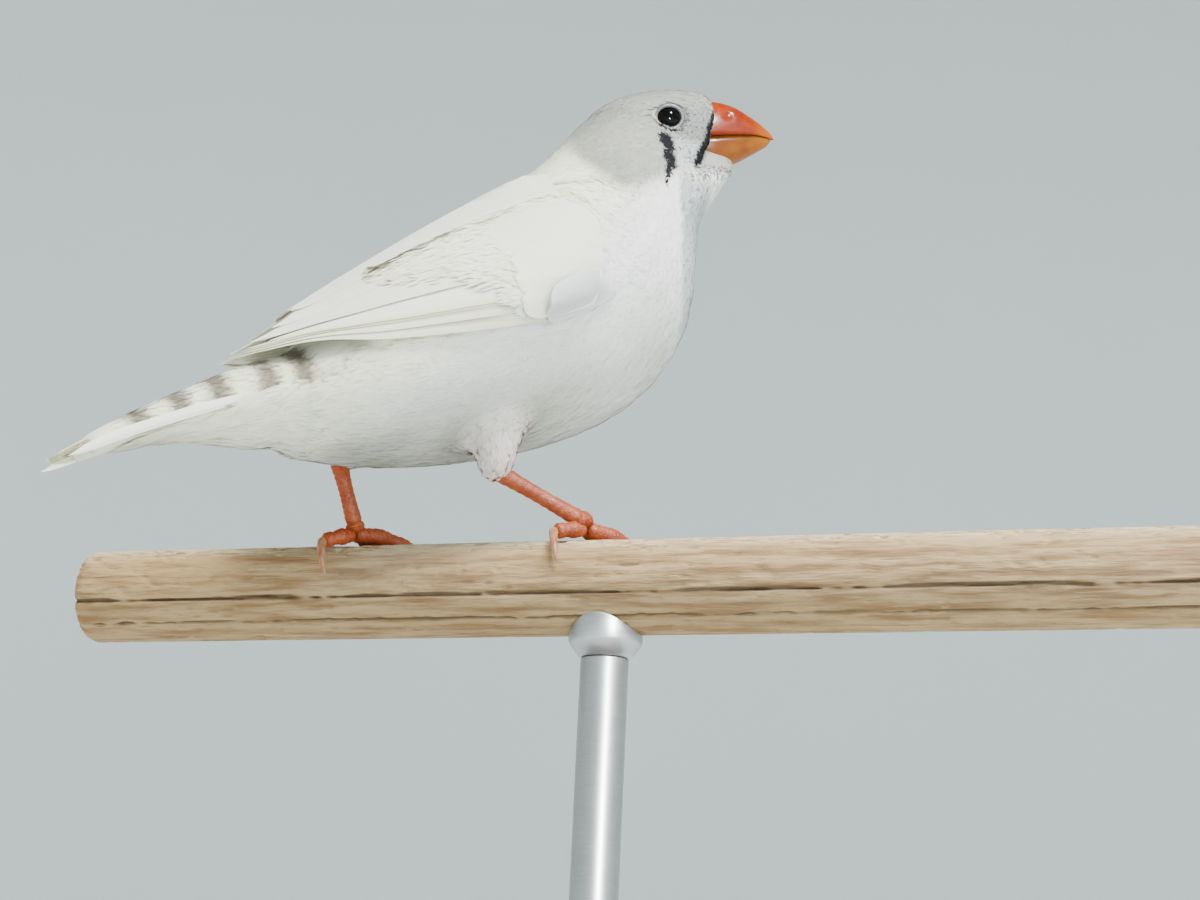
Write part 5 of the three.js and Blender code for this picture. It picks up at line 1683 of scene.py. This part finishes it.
def softwood():
    at = place_in_mm()
    crack_and_top = painted()
    crack = Shade.node("SeparateColor", {}, {"Color": crack_and_top}, output=0)
    top = Shade.node("SeparateColor", {}, {"Color": crack_and_top}, output=1)
    streaks = cloud(at, 1.0, 4, (0.09, 1, 1))
    fine = cloud(at, 0.3, 4, (0.12, 1, 1))
    broad = cloud(at, 9, 3, (0.3, 1, 1))
    wood = blended(streaks.within(0.32, 0.62), (0.21, 0.115, 0.045, 1), (0.42, 0.285, 0.14, 1))
    wood = blended(broad.within(0.35, 0.75) * 0.5, wood, (0.34, 0.205, 0.09, 1))
    wood = blended(fine.within(0.5, 0.75) * 0.5, wood, (0.17, 0.09, 0.035, 1))
    # The top is paler in fine patches
    paler_top = blended(top * fine.within(0.35, 0.6) * 0.75, wood, (0.62, 0.51, 0.33, 1))
    return {
        # Painted shade darkens the inside of the cracks
        "Base Color": blended(crack.within(0.05, 0.35) * 0.9, paler_top, (0.10, 0.062, 0.03, 1)),
        "Roughness": 0.78 + 0.15 * fine,
        "Specular IOR Level": 0.3,
        "Normal": bump(fine + 0.8 * streaks, 0.9, 0.25),
    }


dowel.data.materials.append(finish("perch_softwood", softwood))
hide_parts("perch")
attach(dowel, "root")

# Stand: a dark stained wooden plate with eased corners, and a turned steel rod that stands in a socket
# screwed to the plate and ends in a saddle cut to the perch, which rests in it.
PLATE_SIZE = (104, 66, 8)
PLATE_CORNER = 9
PLATE_EASE = 1.2
# Profiles of the steel pieces, as radii and heights in mm
STEEL_TURNINGS = {
    "stand_rod": [(2.9, 8.1), (3, 8.2), (3, 70.8), (2.9, 70.9)],
    "stand_socket": [
        (3.1, 8.1), (5.2, 8.1), (5.2, 13.8), (5.05, 14.4), (4.6, 14.9), (4.1, 15.1), (3.3, 15.1), (3.1, 14.9),
    ],
    "stand_saddle": [(3, 71), (3.2, 71.1), (4.4, 72.7), (4.6, 73.1), (4.6, 79.6)],
}


def stained_wood():
    at = place_in_mm()
    grain = cloud(at, 1.6, 4, (0.06, 1, 1))
    pores = cloud(at, 0.35, 3, (0.05, 1, 1))
    return {
        "Base Color": blended(grain.within(0.3, 0.7), (0.032, 0.020, 0.013, 1), (0.085, 0.052, 0.032, 1)),
        "Roughness": 0.5 + 0.2 * pores,
        "Coat Weight": 0.12,
        "Coat Roughness": 0.35,
        "Normal": bump(pores, 0.25, 0.1),
    }


def brushed_steel():
    at = place_in_mm()
    marks = cloud(at, 0.25, 3, (0.1, 0.1, 1))
    return {
        "Base Color": blended(marks, (0.34, 0.345, 0.35, 1), (0.46, 0.465, 0.47, 1)),
        "Metallic": 1.0,
        "Roughness": 0.3 + 0.14 * marks,
        "Normal": bump(marks, 0.1, 0.04),
    }


def turned(name, profile, sides, ring=False):
    """A round piece on the z axis from radii and heights: closed at both ends, or bridged into a ring."""
    bpy.ops.object.select_all(action="DESELECT")
    first = profile[0]
    fill = "NOTHING" if ring else "NGON"
    bpy.ops.mesh.primitive_circle_add(vertices=sides, radius=first[0] * MM, fill_type=fill)
    made = bpy.context.object
    made.name = name
    bpy.ops.object.mode_set(mode="EDIT")
    bpy.ops.mesh.select_mode(type="EDGE")
    bpy.ops.mesh.select_all(action="SELECT")
    bpy.ops.transform.translate(value=(0, 0, first[1] * MM))
    for radius, height in profile[1:]:
        bpy.ops.mesh.extrude_edges_move()
        form = bmesh.from_edit_mesh(made.data)
        for vert in form.verts:
            if vert.select:
                flat = Vector((vert.co.x, vert.co.y, 0)).normalized() * radius * MM
                vert.co = (flat.x, flat.y, height * MM)
        bmesh.update_edit_mesh(made.data)
    if ring:
        bpy.ops.mesh.select_all(action="DESELECT")
        bpy.ops.mesh.select_non_manifold(extend=False)
        bpy.ops.mesh.bridge_edge_loops()
    bpy.ops.mesh.select_all(action="SELECT")
    bpy.ops.mesh.normals_make_consistent(inside=False)
    bpy.ops.object.mode_set(mode="OBJECT")
    bpy.ops.object.shade_smooth_by_angle(angle=math.radians(40))
    return made


bpy.ops.object.select_all(action="DESELECT")
bpy.ops.mesh.primitive_cube_add(size=MM, location=(0, 0, 0))
plate = bpy.context.object
plate.name = "stand_plate"
set_corners(plate.data, corners(plate.data) * PLATE_SIZE + (0, 0, PLATE_SIZE[2] / 2))
bpy.ops.object.mode_set(mode="EDIT")
bpy.ops.mesh.select_mode(type="EDGE")
bpy.ops.mesh.select_all(action="DESELECT")
plate_form = bmesh.from_edit_mesh(plate.data)
for edge in plate_form.edges:
    edge.select = abs(edge.verts[0].co.z - edge.verts[1].co.z) > MM
bpy.ops.mesh.bevel(offset=PLATE_CORNER * MM, segments=12, affect="EDGES")
bpy.ops.mesh.select_all(action="DESELECT")
bpy.ops.mesh.edges_select_sharp(sharpness=math.radians(60))
bpy.ops.mesh.bevel(offset=PLATE_EASE * MM, segments=5, affect="EDGES")
bpy.ops.object.mode_set(mode="OBJECT")
bpy.ops.object.shade_smooth_by_angle(angle=math.radians(30))
plate.data.materials.append(finish("base_stained_wood", stained_wood))
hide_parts("stand_base")
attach(plate, "root")

steel = finish("stand_brushed_steel", brushed_steel)
for name, profile in STEEL_TURNINGS.items():
    part = turned(name + "_turned", profile, 72, ring=name == "stand_socket")
    if name == "stand_saddle":
        bpy.ops.object.select_all(action="DESELECT")
        bpy.ops.mesh.primitive_cylinder_add(vertices=144, radius=(PERCH_RADIUS + 0.05) * MM, depth=40 * MM)
        cutter = bpy.context.object
        set_corners(cutter.data, corners(cutter.data)[:, [2, 0, 1]] + PERCH_AXIS)
        cut = part.modifiers.new("perch", "BOOLEAN")
        cut.operation = "DIFFERENCE"
        cut.object = cutter
        alone(part)
        bpy.ops.object.modifier_apply(modifier="perch")
        bpy.data.objects.remove(cutter)
        bpy.ops.object.shade_smooth_by_angle(angle=math.radians(40))
    part.data.materials.append(steel)
    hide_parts(name)
    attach(part, "root")

# Floor and backdrop: one pale round cove under soft studio light, not part of the object.
COVE_RADIUS = 1500
COVE_HEIGHT = 1300
COVE_BEND = 400
COVE_STEPS = 8
bends = np.linspace(0, math.pi / 2, COVE_STEPS + 1)
cove_profile = [(COVE_RADIUS - COVE_BEND * (1 - math.sin(a)), COVE_BEND * (1 - math.cos(a))) for a in bends]
cove = turned("cove", cove_profile + [(COVE_RADIUS, COVE_HEIGHT)], 96)
alone(cove)
bpy.ops.object.shade_smooth()


def pale_board():
    at = place_in_mm()
    return {
        "Base Color": blended(cloud(at, 300, 2), (0.70, 0.76, 0.77, 1), (0.75, 0.81, 0.82, 1)),
        "Roughness": 0.9,
    }


cove.data.materials.append(finish("cove_board", pale_board))

# Light: a broad soft box overhead, a softer one from the camera's right, a low fill, and a pale surround.
LIGHTS = [
    ("key", (260, -300, 880), 480, 24, (0.985, 1.0, 0.96)),
    ("side", (900, -200, 420), 560, 9, (0.95, 0.99, 1.0)),
    ("fill", (-600, -500, 250), 500, 0.8, (1.0, 0.98, 0.94)),
]
# Two small lamps that show only as the highlights in the near eye, placed where it mirrors them to the camera
SPARK_GAP = 300
eyeball = placed(HEAD, [(EYE_AT[0], -EYE_AT[1], EYE_AT[2])])[0]
pupil = placed(HEAD, [(EYE_AT[0], -EYE_AT[1] - EYE_RADIUS, EYE_AT[2])])[0]
view_right, view_up, _, view_from = [np.array(column)[:3] for column in camera.matrix_world.col]
to_camera = unit((view_from / MM - eyeball)[None])[0]
SPARK_SPOTS = (("spark_high", 0.16, 0.86, 26, 6), ("spark_low", 0.0, 0.04, 20, 1.6))
SPARKS = []
for name, right, up, size, power in SPARK_SPOTS:
    right += (pupil - eyeball) @ view_right
    up += (pupil - eyeball) @ view_up
    facing = view_right * right + view_up * up
    facing = (facing + to_camera * math.sqrt(max(EYE_RADIUS**2 - facing @ facing, 0.1))) / EYE_RADIUS
    bounced = 2 * (facing @ to_camera) * facing - to_camera
    SPARKS.append((name, tuple(eyeball + SPARK_GAP * bounced), size, power, (1, 1, 1)))
LIGHT_TARGET = Vector((0, 0, 110)) * MM
for name, spot, size, power, colour in LIGHTS + SPARKS:
    bpy.ops.object.light_add(type="AREA", location=Vector(spot) * MM)
    lamp = bpy.context.object
    lamp.name = "light_" + name
    lamp.data.shape = "DISK"
    lamp.data.size = size * MM
    lamp.data.energy = power
    lamp.data.color = colour
    lamp.visible_glossy = name.startswith("spark")
    lamp.visible_diffuse = not lamp.visible_glossy
    target = Vector(eyeball) * MM if lamp.visible_glossy else LIGHT_TARGET
    lamp.rotation_euler = (target - lamp.location).to_track_quat("-Z", "Y").to_euler()
world = bpy.data.worlds.new("surround")
bpy.context.scene.world = world
world.use_nodes = True
world.node_tree.nodes["Background"].inputs["Color"].default_value = (0.94, 1.0, 0.97, 1)
world.node_tree.nodes["Background"].inputs["Strength"].default_value = 0.2
